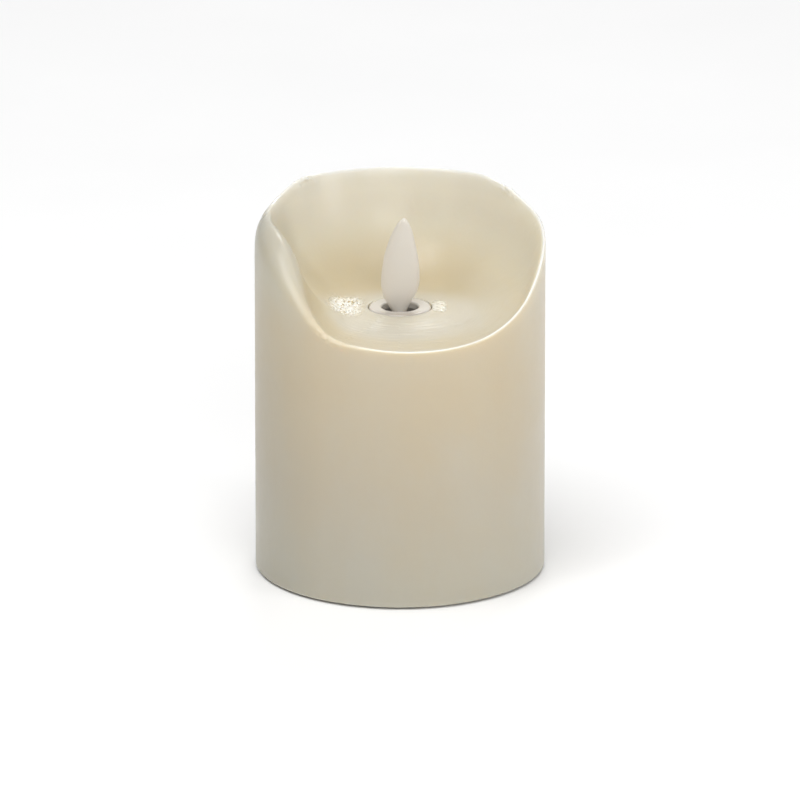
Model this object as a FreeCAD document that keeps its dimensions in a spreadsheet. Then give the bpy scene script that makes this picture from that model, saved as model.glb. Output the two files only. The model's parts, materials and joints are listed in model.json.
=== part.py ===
import FreeCAD, Part
import math
import os
import re

import Sketcher

# A flameless pillar candle with a swinging flame.  A hollow wax pillar with a scooped, melted-looking top
# stands over a plastic module: a battery housing in the foot, and on it a two-shell tower that hangs a
# flame-shaped vane on a bent wire, over an electromagnet that keeps it swaying.
# Frame: millimetres, +Z up, origin on the surface under the centre of the pillar, front of the scoop at -Y.

SIZES = {
    # wax pillar
    "candle_radius": 38.0,
    "wax_bottom": 0.6,
    "wax_foot_round": 1.2,
    "rim_top": 98.0,
    "bore_radius": 33.8,
    "bore_ceiling": 67.0,
    "well_floor": 71.0,
    "well_floor_fall": 1.0,
    "well_floor_radius": 10.0,
    "well_hole_radius": 8.4,
    "well_power": 2.3,
    "well_steepest": 0.985,
    "lip_drop": 1.9,
    "rim_crest_inset": 1.3,
    "rim_inner_inset": 3.0,
    "wide_lip_angle": -45.0,
    "wide_lip_spread": 24.0,
    "wide_lip_extra": 3.6,
    # battery housing
    "floor_bottom": 0.6,
    "floor_top": 2.6,
    "flange_radius": 33.5,
    "skirt_radius": 32.6,
    "skirt_inner": 31.2,
    "housing_top": 20.6,
    "ceiling_under": 18.8,
    "bay_half_length": 28.4,
    "bay_end_half_width": 12.4,
    "bay_mid_half_length": 26.9,
    "bay_half_width": 15.1,
    "bay_wall": 1.4,
    "mark_x": 17.6,
    "mark_half_length": 1.6,
    "mark_half_width": 0.4,
    "mark_proud": 0.3,
    "opening_half_length": 25.9,
    "slot_play": 0.3,
    # battery door and its hinge
    "door_top": 2.2,
    "door_gap": 0.3,
    "door_slant": 1.6,
    "hinge_y": -16.4,
    "hinge_z": 3.6,
    "bead_radius": 0.9,
    "bead_length": 8.0,
    "tab_spacing": 11.0,
    "tab_width": 4.0,
    "tab_reach": 0.9,
    "notch_end": -19.8,
    "clip_width": 10.0,
    "clip_leg": 1.0,
    "clip_inner_y": 12.9,
    "clip_outer_y": 15.9,
    "clip_top": 6.8,
    "clip_bend": 1.2,
    "clip_tip_z": 0.9,
    "clip_tip_reach": 1.2,
    "latch_notch_end": 18.6,
    "latch_notch_width": 12.4,
    "latch_pocket_top": 8.0,
    "scoop_length": 3.0,
    "scoop_depth": 0.8,
    "grip_pitch": 1.6,
    "grip_half_width": 0.35,
    "grip_depth": 0.35,
    "grip_start": 3.0,
    "foam_length": 40.0,
    "foam_width": 22.0,
    "foam_thick": 1.6,
    # feet
    "foot_x": 18.0,
    "foot_y": 22.5,
    "foot_radius": 3.8,
    "foot_recess": 0.6,
    # housing screws
    "south_screw_y": -24.0,
    "north_screw_x": 11.0,
    "north_screw_y": 20.0,
    "pillar_radius": 3.4,
    "screw_head_radius": 2.2,
    "screw_head_height": 1.6,
    "screw_seat": 3.0,
    "screw_shank": 1.15,
    "screw_clear": 0.2,
    "screw_tip": 25.6,
    "recess_width": 0.5,
    # slide switch
    "switch_y": 25.5,
    "switch_length": 12.0,
    "switch_width": 5.0,
    "switch_height": 4.2,
    "switch_pit_length": 14.4,
    "switch_pit_width": 5.8,
    "switch_pit_depth": 1.0,
    "knob_length": 4.4,
    "knob_width": 2.6,
    "knob_bottom": 0.7,
    "knob_travel": 2.0,
    "knob_play": 0.3,
    "knob_rib_pitch": 1.2,
    "knob_groove_half": 0.25,
    "knob_groove_depth": 0.4,
    "pin_pitch": 3.0,
    "pin_wide": 0.8,
    "pin_thick": 0.4,
    "pin_long": 3.0,
    # AA cells and contacts
    "cell_radius": 7.15,
    "cell_length": 49.2,
    "cell_y": 7.4,
    "cell_z": 11.2,
    "cell_flat_end": 22.6,
    "cell_nub_radius": 2.75,
    "cell_nub": 1.0,
    "cell_edge": 0.6,
    "contact_thick": 0.4,
    "contact_half": 4.0,
    "contact_bottom": 6.8,
    "contact_top": 15.6,
    "plus_contact_x": 27.7,
    "minus_contact_x": 27.9,
    "tab_half": 1.5,
    "tab_top": 22.6,
    "spring_radius": 3.9,
    "spring_wire": 0.35,
    "spring_turns": 3.25,
    "spring_end_radius": 2.8,
    # mechanism plate
    "plate_thick": 1.8,
    "plate_radius": 31.8,
    "boss_radius": 3.0,
    "boss_height": 5.0,
    "window_x": 23.5,
    "window_length": 5.4,
    "window_half_width": 9.8,
    "lead_hole": 1.8,
    "lead_hole_x": 17.5,
    "lead_hole_y": 22.0,
    "lead_hole_west_x": -5.0,
    "lead_hole_west_y": 23.5,
    # tower
    "tower_wall": 1.8,
    "neck_wall": 1.4,
    "box_half_x": 17.0,
    "box_half_y": 14.5,
    "box_top": 42.4,
    "shoulder_thick": 1.6,
    "neck_half_x": 11.6,
    "neck_front": -7.6,
    "neck_back": 11.9,
    "tower_top": 65.4,
    "foot_half_x": 22.0,
    "foot_half_y": 11.0,
    "foot_thick": 2.0,
    "foot_screw_x": 19.6,
    "foot_screw_y": 8.0,
    "foot_screw_tip": 19.2,
    "small_shank": 0.85,
    "small_head": 1.9,
    "small_head_height": 1.4,
    "ear_radius": 3.0,
    "ear_half": 3.0,
    "low_ear_y": 16.6,
    "low_ear_z": 32.0,
    "high_ear_front_y": -9.7,
    "high_ear_back_y": 14.0,
    "high_ear_z": 54.0,
    "notch_x": 4.0,
    "notch_width": 6.0,
    "notch_height": 2.6,
    "saddle_near": 4.2,
    "saddle_front_depth": 2.0,
    "saddle_half_x": 2.6,
    "saddle_bottom": 56.0,
    "cross_wall": 1.0,
    "wire_slot_radius": 0.35,
    "wire_slot_front": 5.6,
    # pivot wire
    "pivot_z": 64.0,
    "pivot_dip": 1.5,
    "pivot_wire": 0.3,
    "wire_front_end": 5.4,
    "wire_back_end": 5.1,
    "wire_seat_inner": 3.7,
    "wire_flat": 1.7,
    # collar
    "collar_thick": 1.4,
    "collar_radius": 8.15,
    "collar_top": 71.1,
    "collar_bore": 6.9,
    "collar_bore_top": 69.3,
    "collar_hole": 4.8,
    "collar_round": 0.6,
    # flame vane
    "stem_half_x": 1.7,
    "stem_half_y": 1.2,
    "stem_top": 66.6,
    "eye_radius": 2.3,
    "eye_hole": 0.5,
    "tail_half_x": 1.9,
    "tail_half_y": 0.8,
    "tail_bottom": 46.0,
    "cup_radius": 4.3,
    "cup_bottom": 42.2,
    "cup_top": 46.4,
    "magnet_radius": 3.5,
    "magnet_bottom": 42.4,
    "magnet_height": 3.0,
    # LED
    "led_y": 8.4,
    "led_z": 59.2,
    "led_lean": 15.7,
    "led_radius": 1.5,
    "led_body": 3.8,
    "led_flange_radius": 1.9,
    "led_flange": 1.0,
    "led_lead_radius": 0.25,
    "led_lead_long": 3.0,
    "led_lead_x": 1.27,
    "led_bore": 1.55,
    "holder_bottom": 60.9,
    "holder_height": 2.0,
    "holder_play": 0.1,
    # circuit board and coil
    "board_bottom": 25.4,
    "board_thick": 1.6,
    "board_half_x": 15.8,
    "board_half_y": 12.4,
    "bobbin_top": 39.5,
    "bobbin_radius": 7.0,
    "bobbin_flange": 1.2,
    "bobbin_hub": 3.2,
    "winding_radius": 6.2,
    "core_radius": 2.1,
    "core_top": 39.9,
    "chip_x": -11.4,
    "chip_length": 5.0,
    "chip_width": 4.0,
    "chip_height": 1.5,
    "chip_stand": 0.1,
    "leg_pitch": 1.27,
    "leg_wide": 0.4,
    "leg_reach": 1.0,
    "cap_x": 11.2,
    "cap_y": 7.6,
    "cap_radius": 2.5,
    "cap_height": 7.0,
    "cap_groove": 0.25,
    "resistor_length": 2.0,
    "resistor_width": 1.25,
    "resistor_height": 0.55,
    "resistor_pitch": 2.4,
    "resistor_x": 11.6,
    "resistor_y": -3.0,
    "transistor_x": 6.0,
    "transistor_y": -9.6,
    "transistor_length": 2.9,
    "transistor_width": 1.4,
    "transistor_height": 1.1,
    # hook-up wire
    "lead_radius": 0.65,
    "led_wire_radius": 0.5,
    "coil_wire_radius": 0.15,
    "adhesive_height": 4.0,
}

# Height of the melted rim's crest every 15 degrees, seen from above, anticlockwise from the front (-Y):
# low at the front, where the scoop opens, steep on its left side and gentle on its right.
RIM_STEP = 15
RING_POINTS = 36
SPRING_POINTS = 10
RIM_HEIGHTS = [
    70.5, 70.5, 71.4, 73.8, 78.2, 84.6, 89.8, 92.9, 94.1, 95.6, 97.3, 97.7,
    97.9, 97.5, 98.0, 96.8, 95.0, 94.6, 94.6, 93.0, 88.6, 80.4, 72.9, 71.2,
]

# Cross-sections of the flame: height, half width, half thickness, and how far its centre leans to +X.
FLAME_SECTIONS = [
    (66.4, 1.70, 1.20, -0.05),
    (69.6, 1.85, 1.30, -0.20),
    (71.6, 2.90, 1.50, -0.35),
    (73.8, 4.05, 1.80, -0.25),
    (76.5, 4.90, 2.00, 0.00),
    (80.0, 5.00, 2.05, 0.15),
    (84.0, 4.55, 1.95, 0.25),
    (88.0, 3.65, 1.65, 0.40),
    (91.0, 2.75, 1.30, 0.65),
    (93.2, 1.75, 0.95, 0.85),
    (94.6, 0.85, 0.55, 0.98),
    (95.1, 0.25, 0.20, 1.00),
]

doc = FreeCAD.newDocument("flameless_candle")
sheet = doc.addObject("Spreadsheet::Sheet", "size")
nodes = []


def fill_sheet():
    cells = dict(SIZES)
    for index, height in enumerate(RIM_HEIGHTS):
        cells[f"rim_{index:02d}"] = height
    for index, section in enumerate(FLAME_SECTIONS):
        for name, number in zip(("level", "wide", "thick", "lean"), section):
            cells[f"flame_{name}_{index:02d}"] = number
    for row, (name, number) in enumerate(cells.items(), 1):
        sheet.set(f"A{row}", name)
        sheet.set(f"B{row}", str(number))
        sheet.setAlias(f"B{row}", name)
    doc.recompute()


# ---- expressions, primitives and booleans ----------------------------------------------------------------


def cell(text):
    """Turns 'door_top - 2 * slot_play' into an expression on the sheet."""
    return re.sub(r"\b(?!(?:sin|cos|tan|sqrt)\b)[a-z][a-z_0-9]*", lambda m: "size." + m.group(0), str(text))


def number(text):
    return float(sheet.evalExpression(cell(text)))


def bind(item, **properties):
    for name, text in properties.items():
        item.setExpression(name, cell(text))
    return item


def place(item, x="0", y="0", z="0"):
    for axis, text in zip("xyz", (x, y, z)):
        item.setExpression(f"Placement.Base.{axis}", cell(text))
    return item


def node(label, item):
    """Names a finished sub-part, which is written to parts/LABEL.step."""
    item.Label = label
    nodes.append(item)
    return item


def box(x, y, z, length, width, height):
    """A block from its lowest corner."""
    item = doc.addObject("Part::Box", "Block")
    bind(item, Length=length, Width=width, Height=height)
    return place(item, x, y, z)


def block(half_x, half_y, bottom, top, x="0", y="0"):
    """A block centred on x, y, from bottom to top."""
    return box(f"{x} - ({half_x})", f"{y} - ({half_y})", bottom,
               f"2 * ({half_x})", f"2 * ({half_y})", f"({top}) - ({bottom})")


def rod(radius, bottom, top, x="0", y="0"):
    """An upright cylinder from bottom to top."""
    item = doc.addObject("Part::Cylinder", "Rod")
    bind(item, Radius=radius, Height=f"({top}) - ({bottom})")
    return place(item, x, y, bottom)


TURNS = {"x": ((0, 1, 0), 90), "y": ((1, 0, 0), -90), "-x": ((0, 1, 0), -90)}


def bar(way, radius, length, x, y, z):
    """A lying cylinder that starts at a point and runs along +x, +y or -x."""
    item = doc.addObject("Part::Cylinder", "Bar")
    axis, angle = TURNS[way]
    item.Placement.Rotation = FreeCAD.Rotation(FreeCAD.Vector(*axis), angle)
    bind(item, Radius=radius, Height=length)
    return place(item, x, y, z)


def fuse(*items):
    if len(items) == 1:
        return items[0]
    item = doc.addObject("Part::MultiFuse", "Joined")
    item.Shapes = list(items)
    item.Refine = True
    return item


def cut(base, *tools):
    item = doc.addObject("Part::Cut", "Cut")
    item.Base = base
    item.Tool = fuse(*tools)
    item.Refine = True
    return item


def common(one, other):
    item = doc.addObject("Part::Common", "Shared")
    item.Base = one
    item.Tool = other
    return item


def group(*items):
    item = doc.addObject("Part::Compound", "Group")
    item.Links = list(items)
    return item


def shape_feature(shape):
    item = doc.addObject("Part::Feature", "Formed")
    item.Shape = shape
    return item


# ---- bodies with sketches --------------------------------------------------------------------------------


def new_body():
    return doc.addObject("PartDesign::Body", "Body")


def sketch(body, role, offset="0"):
    item = body.newObject("Sketcher::SketchObject", "Sketch")
    plane = next(f for f in body.Origin.OriginFeatures if f.Role == role)
    item.AttachmentSupport = [(plane, "")]
    item.MapMode = "FlatFace"
    item.setExpression("AttachmentOffset.Base.z", cell(offset))
    return item


def hold(item, kind, *references, text):
    """Adds a dimension to a sketch and binds it to the sheet."""
    index = item.addConstraint(Sketcher.Constraint(kind, *references, number(text)))
    item.setExpression(f"Constraints[{index}]", cell(text))


def polygon(item, points):
    """A closed outline, each corner held at its distance from the sketch's origin."""
    corners = [FreeCAD.Vector(number(u), number(v), 0) for u, v in points]
    first = item.GeometryCount
    for here, there in zip(corners, corners[1:] + corners[:1]):
        item.addGeometry(Part.LineSegment(here, there), False)
    for index, (u, v) in enumerate(points):
        line = first + index
        following = first + (index + 1) % len(points)
        item.addConstraint(Sketcher.Constraint("Coincident", line, 2, following, 1))
        hold(item, "DistanceX", -1, 1, line, 1, text=u)
        hold(item, "DistanceY", -1, 1, line, 1, text=v)
    return item


def rectangle(item, half_x, half_y, x="0", y="0"):
    west, east = f"({x}) - ({half_x})", f"({x}) + ({half_x})"
    south, north = f"({y}) - ({half_y})", f"({y}) + ({half_y})"
    return polygon(item, [(west, south), (east, south), (east, north), (west, north)])


def circle(item, radius, x="0", y="0"):
    centre = FreeCAD.Vector(number(x), number(y), 0)
    index = item.addGeometry(Part.Circle(centre, FreeCAD.Vector(0, 0, 1), number(radius)), False)
    hold(item, "Radius", index, text=radius)
    hold(item, "DistanceX", -1, 1, index, 3, text=x)
    hold(item, "DistanceY", -1, 1, index, 3, text=y)
    return item


def pad(body, profile, length, both_ways=False):
    item = body.newObject("PartDesign::Pad", "Pad")
    item.Profile = profile
    item.Midplane = both_ways
    bind(item, Length=length)
    return item


def pocket(body, profile, depth):
    """Cuts upwards from a sketch, and makes sure that it took something away."""
    doc.recompute()
    before = body.Shape.Volume
    item = body.newObject("PartDesign::Pocket", "Pocket")
    item.Profile = profile
    item.Reversed = True
    bind(item, Length=depth)
    doc.recompute()
    if body.Shape.Volume >= before:
        raise RuntimeError(f"a pocket of {body.Label} cut nothing")
    return item


def turned(body, profile):
    """Revolves a sketch of an origin plane about its upright axis."""
    item = body.newObject("PartDesign::Revolution", "Turned")
    item.Profile = profile
    item.ReferenceAxis = (profile, ["V_Axis"])
    item.Angle = 360
    return item


def round_edges(body, kind, size, wanted):
    """Rounds or bevels the edges of the body's tip that the test picks."""
    doc.recompute()
    base = body.Tip
    names = [f"Edge{i}" for i, edge in enumerate(base.Shape.Edges, 1) if wanted(edge)]
    item = body.newObject(f"PartDesign::{kind}", kind)
    item.Base = (base, names)
    if kind == "Fillet":
        bind(item, Radius=size)
    else:
        bind(item, Size=size)
    return item


def flat_at(level):
    """A test for edges that lie wholly at one height."""
    height = number(level)
    return lambda edge: all(abs(v.Z - height) < 1e-4 for v in edge.Vertexes) and abs(
        edge.BoundBox.ZLength) < 1e-3


def upright(edge):
    return edge.Curve.TypeId == "Part::GeomLine" and abs(edge.tangentAt(edge.FirstParameter).z) > 0.999


# ---- wires and springs -----------------------------------------------------------------------------------


def rounded_path(points):
    """Straight runs joined by tangent arcs, each as large as its two runs allow."""
    share = 0.45
    corners = [FreeCAD.Vector(*p) for p in points]
    edges, start = [], corners[0]
    for before, here, after in zip(corners, corners[1:], corners[2:]):
        reach = share * min((here - before).Length, (after - here).Length)
        into, out = (here - before).normalize(), (after - here).normalize()
        first, last = here - into * reach, here + out * reach
        turn = into.getAngle(out)
        radius = reach / math.tan(turn / 2)
        inward = (out - into).normalize()
        middle = here + inward * (radius / math.cos(turn / 2) - radius)
        edges.append(Part.LineSegment(start, first).toShape())
        edges.append(Part.Arc(first, middle, last).toShape())
        start = last
    edges.append(Part.LineSegment(start, corners[-1]).toShape())
    return Part.Wire(edges)


def tube(points, radius):
    path = rounded_path(points)
    towards = FreeCAD.Vector(*points[1]) - FreeCAD.Vector(*points[0])
    ring = Part.Wire([Part.makeCircle(radius, FreeCAD.Vector(*points[0]), towards)])
    solid = path.makePipeShell([ring], True, False)
    expected = path.Length * math.pi * radius**2
    if abs(solid.Volume / expected - 1) > 0.02:
        raise RuntimeError("a wire's solid has the wrong volume")
    return solid


def coil_spring(length):
    """A conical compression spring that stands on z 0, its wide end down."""
    wire, turns = number("spring_wire"), number("spring_turns")
    wide, narrow = number("spring_radius"), number("spring_end_radius")
    count = round(turns * SPRING_POINTS)
    points = []
    for index in range(count + 1):
        share = index / count
        turn = 2 * math.pi * turns * share
        radius = wide + share * (narrow - wide)
        points.append((radius * math.cos(turn), radius * math.sin(turn), wire + share * (length - 2 * wire)))
    return tube(points, wire)


# ---- screws ----------------------------------------------------------------------------------------------


def screw(head_radius, head_height, shank, length):
    """A pan-head screw with a cross recess: its head's seat at z 0, its shank up +z, its head below."""
    body = fuse(rod(head_radius, f"-({head_height})", "0"), rod(shank, "0", length))
    depth = f"{head_height} / 2"
    slot_along = block(f"{head_radius} * 0.6", "recess_width / 2", f"-({head_height})", f"-({depth})")
    slot_across = block("recess_width / 2", f"{head_radius} * 0.6", f"-({head_height})", f"-({depth})")
    return cut(body, slot_along, slot_across)


def set_screw(made, x, y, z, axis=(0, 0, 1), angle=0):
    """Puts a screw in its hole."""
    holder = group(made)
    holder.Placement.Rotation = FreeCAD.Rotation(FreeCAD.Vector(*axis), angle)
    return place(holder, x, y, z)


# ---- wax pillar ------------------------------------------------------------------------------------------


def rim_height(angle):
    """Crest height at an angle in degrees, a smooth periodic curve through the sheet's heights."""
    heights = [number(f"rim_{i:02d}") for i in range(len(RIM_HEIGHTS))]
    place_in, count = angle / RIM_STEP, len(heights)
    index, share = int(math.floor(place_in)), place_in - math.floor(place_in)
    before, here, after, later = (heights[(index + k) % count] for k in (-1, 0, 1, 2))
    slope_here, slope_after = (after - before) / 2, (later - here) / 2
    rise = 3 * share**2 - 2 * share**3
    return (here * (1 - rise) + after * rise
            + slope_here * (share - 2 * share**2 + share**3)
            + slope_after * (share**3 - share**2))


def lip_extra(angle):
    """How much wider the melted lip is, mostly on the scoop's left."""
    off = (angle - number("wide_lip_angle") + 180) % 360 - 180
    return number("wide_lip_extra") * math.exp(-((off / number("wide_lip_spread")) ** 2))


def well_rings():
    """Closed curves round the candle that the top surface is lofted through, from the hole outwards."""
    radius, floor, start = number("candle_radius"), number("well_floor"), number("well_floor_radius")
    fall, power = number("well_floor_fall"), number("well_power")
    low, lip_drop = floor - fall, number("lip_drop")
    # share of the way from the flat floor to the lip
    inside = [-0.12, 0.0, 0.14, 0.28, 0.42, 0.56, 0.68, 0.79, 0.88, 0.95]
    # share of the way from the lip's inner edge to its crest, and share of the lip's height still to climb
    lip = [(0.0, 1.0), (0.4, 0.4), (1.0, 0.0)]
    # how far outside the candle's side, and how far below the crest
    outside = [(-0.6, 0.45), (0.8, 1.6), (2.4, 3.4)]
    bend = [1 - (1 - max(share, 0) ** power) ** (1 / power) for share in inside]
    full_bend = 1 - (1 - number("well_steepest") ** power) ** (1 / power)
    rings = [[] for _ in range(len(inside) + len(lip) + len(outside))]
    for step in range(RING_POINTS):
        angle = 360 * step / RING_POINTS
        crest_height, extra = rim_height(angle), lip_extra(angle)
        crest = radius - number("rim_crest_inset") - extra / 2
        inner = radius - number("rim_inner_inset") - extra
        drop = lip_drop * min(1, (crest_height - low) / (2 * lip_drop))
        curve = []
        for share, bent in zip(inside, bend):
            settled = min(1, max(0, share) / 0.4)
            sunk = fall * settled**2 * (3 - 2 * settled)
            climb = (crest_height - drop - low) * bent / full_bend
            curve.append((start + share * (inner - start), floor - sunk + climb))
        for share, remaining in lip:
            curve.append((inner + share * (crest - inner), crest_height - remaining * drop))
        for beyond, below in outside:
            curve.append((radius + beyond, crest_height - below))
        turn = math.radians(angle)
        for ring, (r, z) in zip(rings, curve):
            ring.append(FreeCAD.Vector(r * math.sin(turn), -r * math.cos(turn), z))
    wires = []
    for points in rings:
        spline = Part.BSplineCurve()
        spline.interpolate(Points=points, PeriodicFlag=True)
        wires.append(Part.Wire([spline.toShape()]))
    return wires


def wax_shell():
    surface = Part.makeLoft(well_rings(), False, False)
    above = FreeCAD.Vector(0, 0, number("rim_top") - number("well_floor") + 30)
    scoop = shape_feature(surface.Faces[0].extrude(above))
    body = new_body()
    pad(body, circle(sketch(body, "XY_Plane", "wax_bottom"), "candle_radius"), "rim_top + 4 - wax_bottom")
    round_edges(body, "Fillet", "wax_foot_round", flat_at("wax_bottom"))
    bore = rod("bore_radius", "wax_bottom - 1", "bore_ceiling")
    hole = rod("well_hole_radius", "bore_ceiling - 1", "rim_top + 20")
    return node("wax_shell", cut(cut(cut(body, scoop), hole), bore))


# ---- battery housing, door and switch --------------------------------------------------------------------


def screw_places():
    return [("0", "south_screw_y"), ("north_screw_x", "north_screw_y"), ("-north_screw_x", "north_screw_y")]


def side_bay(side):
    """The space beside the cells, on the north (+1) or south (-1) side."""
    near = "bay_half_width + bay_wall"
    slab = box("-skirt_inner", near if side > 0 else "-skirt_inner", "floor_top",
               "2 * skirt_inner", f"skirt_inner - ({near})", "housing_top - floor_top")
    return common(rod("skirt_inner", "floor_top", "housing_top"), slab)


def base_housing():
    shell = fuse(rod("flange_radius", "floor_bottom", "floor_top"),
                 rod("skirt_radius", "floor_top", "housing_top"))
    bays = [
        block("bay_half_length", "bay_end_half_width", "floor_top", "ceiling_under"),
        block("bay_mid_half_length", "bay_half_width", "floor_top", "ceiling_under"),
        block("opening_half_length", "bay_half_width", "floor_bottom - 1", "floor_top"),
        side_bay(1),
        side_bay(-1),
    ]
    hollow = cut(shell, *bays)
    pillars = [rod("pillar_radius", "floor_top", "housing_top", x, y) for x, y in screw_places()]
    tools = []
    for x, y in screw_places():
        tools.append(rod("screw_head_radius + screw_clear", "0", "screw_seat", x, y))
        tools.append(rod("screw_shank + screw_clear", "screw_seat", "housing_top", x, y))
    for side in ("-tab_spacing", "tab_spacing"):
        tools.append(box(f"{side} - tab_width / 2 - slot_play", "notch_end", "0",
                         "tab_width + 2 * slot_play", "-bay_half_width - notch_end", "floor_top"))
        tools.append(box(f"{side} - bead_length / 2 - slot_play", "-bay_half_width - bay_wall - 1",
                         "floor_top", "bead_length + 2 * slot_play", "bay_wall + 1", "floor_top"))
    tools.append(box("-latch_notch_width / 2", "bay_half_width - 0.1", "0",
                     "latch_notch_width", "latch_notch_end - bay_half_width + 0.1", "floor_top"))
    tools.append(box("-latch_notch_width / 2", "bay_half_width - 0.1", "floor_top",
                     "latch_notch_width", "bay_wall + 0.2", "latch_pocket_top - floor_top"))
    tools.append(block("clip_width / 2", "scoop_length / 2", "0", "floor_bottom + scoop_depth",
                       y="latch_notch_end + scoop_length / 2"))
    tools.append(block("switch_pit_length / 2", "switch_pit_width / 2", "0",
                       "floor_bottom + switch_pit_depth", y="switch_y"))
    tools.append(block("knob_length / 2 + knob_travel + knob_play", "knob_width / 2 + knob_play",
                       "0", "floor_top", y="switch_y"))
    for x in ("-foot_x", "foot_x"):
        for y in ("-foot_y", "foot_y"):
            tools.append(rod("foot_radius + 0.1", "0", "floor_bottom + foot_recess", x, y))
    for y, contact in (("-cell_y", "plus_contact_x"), ("cell_y", "minus_contact_x")):
        tools.append(box(f"{contact} - 0.2", f"{y} - tab_half - 0.2", "ceiling_under - 1",
                         "contact_thick + 0.4", "2 * tab_half + 0.4", "housing_top - ceiling_under + 2"))
    for x in ("-foot_screw_x", "foot_screw_x"):
        for y in ("-foot_screw_y", "foot_screw_y"):
            tools.append(rod("small_shank", "foot_screw_tip", "housing_top", x, y))
    return node("base_housing", cut(fuse(hollow, *pillars), *tools))


def polarity_marks():
    """Raised plus and minus bars inside the bay's ceiling, over each cell's ends."""
    bottom, top = "ceiling_under - mark_proud", "ceiling_under"
    bars = []
    for y, button, flat in (("-cell_y", "mark_x", "-mark_x"), ("cell_y", "-mark_x", "mark_x")):
        along = block("mark_half_length", "mark_half_width", bottom, top, button, y)
        across = block("mark_half_width", "mark_half_length", bottom, top, button, y)
        bars.append(fuse(along, across))
        bars.append(block("mark_half_width", "mark_half_length", bottom, top, flat, y))
    return node("polarity_marks", group(*bars))


def battery_door():
    body = new_body()
    edge, inner = "bay_half_width - door_gap", "-bay_half_width + door_gap + 0.1"
    plate = sketch(body, "YZ_Plane")
    polygon(plate, [(inner, "floor_bottom"), (edge, "floor_bottom"), (edge, "door_top"),
                    (f"{inner} + door_slant", "door_top")])
    pad(body, plate, "2 * (opening_half_length - door_gap)", both_ways=True)
    for side in ("-tab_spacing", "tab_spacing"):
        arm = sketch(body, "YZ_Plane", f"{side} - tab_width / 2")
        tail = "hinge_y - tab_reach"
        root = f"{inner} + 2 * door_slant"
        polygon(arm, [
            (tail, "floor_bottom + 0.3"), (f"{tail} + 0.3", "floor_bottom"), (root, "floor_bottom"),
            (root, "door_top"), ("hinge_y + tab_reach + 0.2", "door_top + 0.2"),
            ("hinge_y + tab_reach", "hinge_z"), (tail, "hinge_z"),
        ])
        pad(body, arm, "tab_width")
        bead = sketch(body, "YZ_Plane", f"{side} - bead_length / 2")
        circle(bead, "bead_radius", "hinge_y", "hinge_z")
        pad(body, bead, "bead_length")
    clip = sketch(body, "YZ_Plane")
    near, far = "clip_inner_y", "clip_outer_y + clip_leg"
    polygon(clip, [
        (near, "door_top"), (near, "clip_top - clip_bend"), (f"{near} + 0.8", "clip_top"),
        (f"{far} - 0.8", "clip_top"), (far, "clip_top - clip_bend"), (far, "clip_tip_z + clip_leg"),
        (f"{far} + clip_tip_reach", "clip_tip_z + clip_leg"), (f"{far} + clip_tip_reach", "clip_tip_z"),
        ("clip_outer_y", "clip_tip_z"), ("clip_outer_y", "clip_top - clip_bend - 0.4"),
        ("clip_outer_y - 0.4", "clip_top - clip_leg"), (f"{near} + clip_leg + 0.4", "clip_top - clip_leg"),
        (f"{near} + clip_leg", "clip_top - clip_bend - 0.4"), (f"{near} + clip_leg", "door_top"),
    ])
    pad(body, clip, "clip_width", both_ways=True)
    for index in range(4):
        groove = sketch(body, "XY_Plane", "floor_bottom")
        rectangle(groove, "clip_width / 2", "grip_half_width", "0",
                  f"bay_half_width - grip_start - {index} * grip_pitch")
        pocket(body, groove, "grip_depth")
    return node("battery_door", body)


def door_foam():
    body = new_body()
    outline = rectangle(sketch(body, "XY_Plane", "door_top"), "foam_length / 2", "foam_width / 2")
    pad(body, outline, "foam_thick")
    round_edges(body, "Fillet", "1", upright)
    return node("door_foam_pad", body)


def rubber_feet():
    pads = []
    for x in ("-foot_x", "foot_x"):
        for y in ("-foot_y", "foot_y"):
            pads.append(rod("foot_radius", "0", "floor_bottom + foot_recess", x, y))
    return node("rubber_feet", group(*pads))


def housing_screws():
    made = []
    for x, y in screw_places():
        pan = screw("screw_head_radius", "screw_head_height", "screw_shank", "screw_tip - screw_seat")
        made.append(set_screw(pan, x, y, "screw_seat"))
    return node("housing_screws", group(*made))


def slide_switch():
    top = "floor_top + switch_height"
    node("switch_frame", block("switch_length / 2", "switch_width / 2", "floor_top", top, y="switch_y"))
    pins = []
    for index in (-1, 0, 1):
        pins.append(block("pin_wide / 2", "pin_thick / 2", top, f"{top} + pin_long",
                          f"{index} * pin_pitch", "switch_y"))
    node("switch_pins", group(*pins))
    body = new_body()
    outline = sketch(body, "XY_Plane", "knob_bottom")
    rectangle(outline, "knob_length / 2", "knob_width / 2", "0", "switch_y")
    pad(body, outline, "floor_top - knob_bottom")
    for index in (-1, 0, 1):
        groove = sketch(body, "XY_Plane", "knob_bottom")
        rectangle(groove, "knob_groove_half", "knob_width / 2 + 0.1", f"{index} * knob_rib_pitch", "switch_y")
        pocket(body, groove, "knob_groove_depth")
    return node("switch_knob", body)


# ---- cells and contacts ----------------------------------------------------------------------------------


def aa_cell(label, side):
    """A cell with its flat end at z 0, laid along x: side -1 points its button to +X, +1 to -X."""
    body = new_body()
    profile = sketch(body, "XZ_Plane")
    polygon(profile, [
        ("0", "0"), ("cell_radius - cell_edge", "0"), ("cell_radius", "cell_edge"),
        ("cell_radius", "cell_length - cell_edge"), ("cell_radius - cell_edge", "cell_length"),
        ("cell_nub_radius", "cell_length"), ("cell_nub_radius", "cell_length + cell_nub"),
        ("0", "cell_length + cell_nub"),
    ])
    turned(body, profile)
    body.Placement.Rotation = FreeCAD.Rotation(FreeCAD.Vector(0, 1, 0), -90 * side)
    place(body, f"{side} * cell_flat_end", f"{side} * cell_y", "cell_z")
    return node(label, body)


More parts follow.
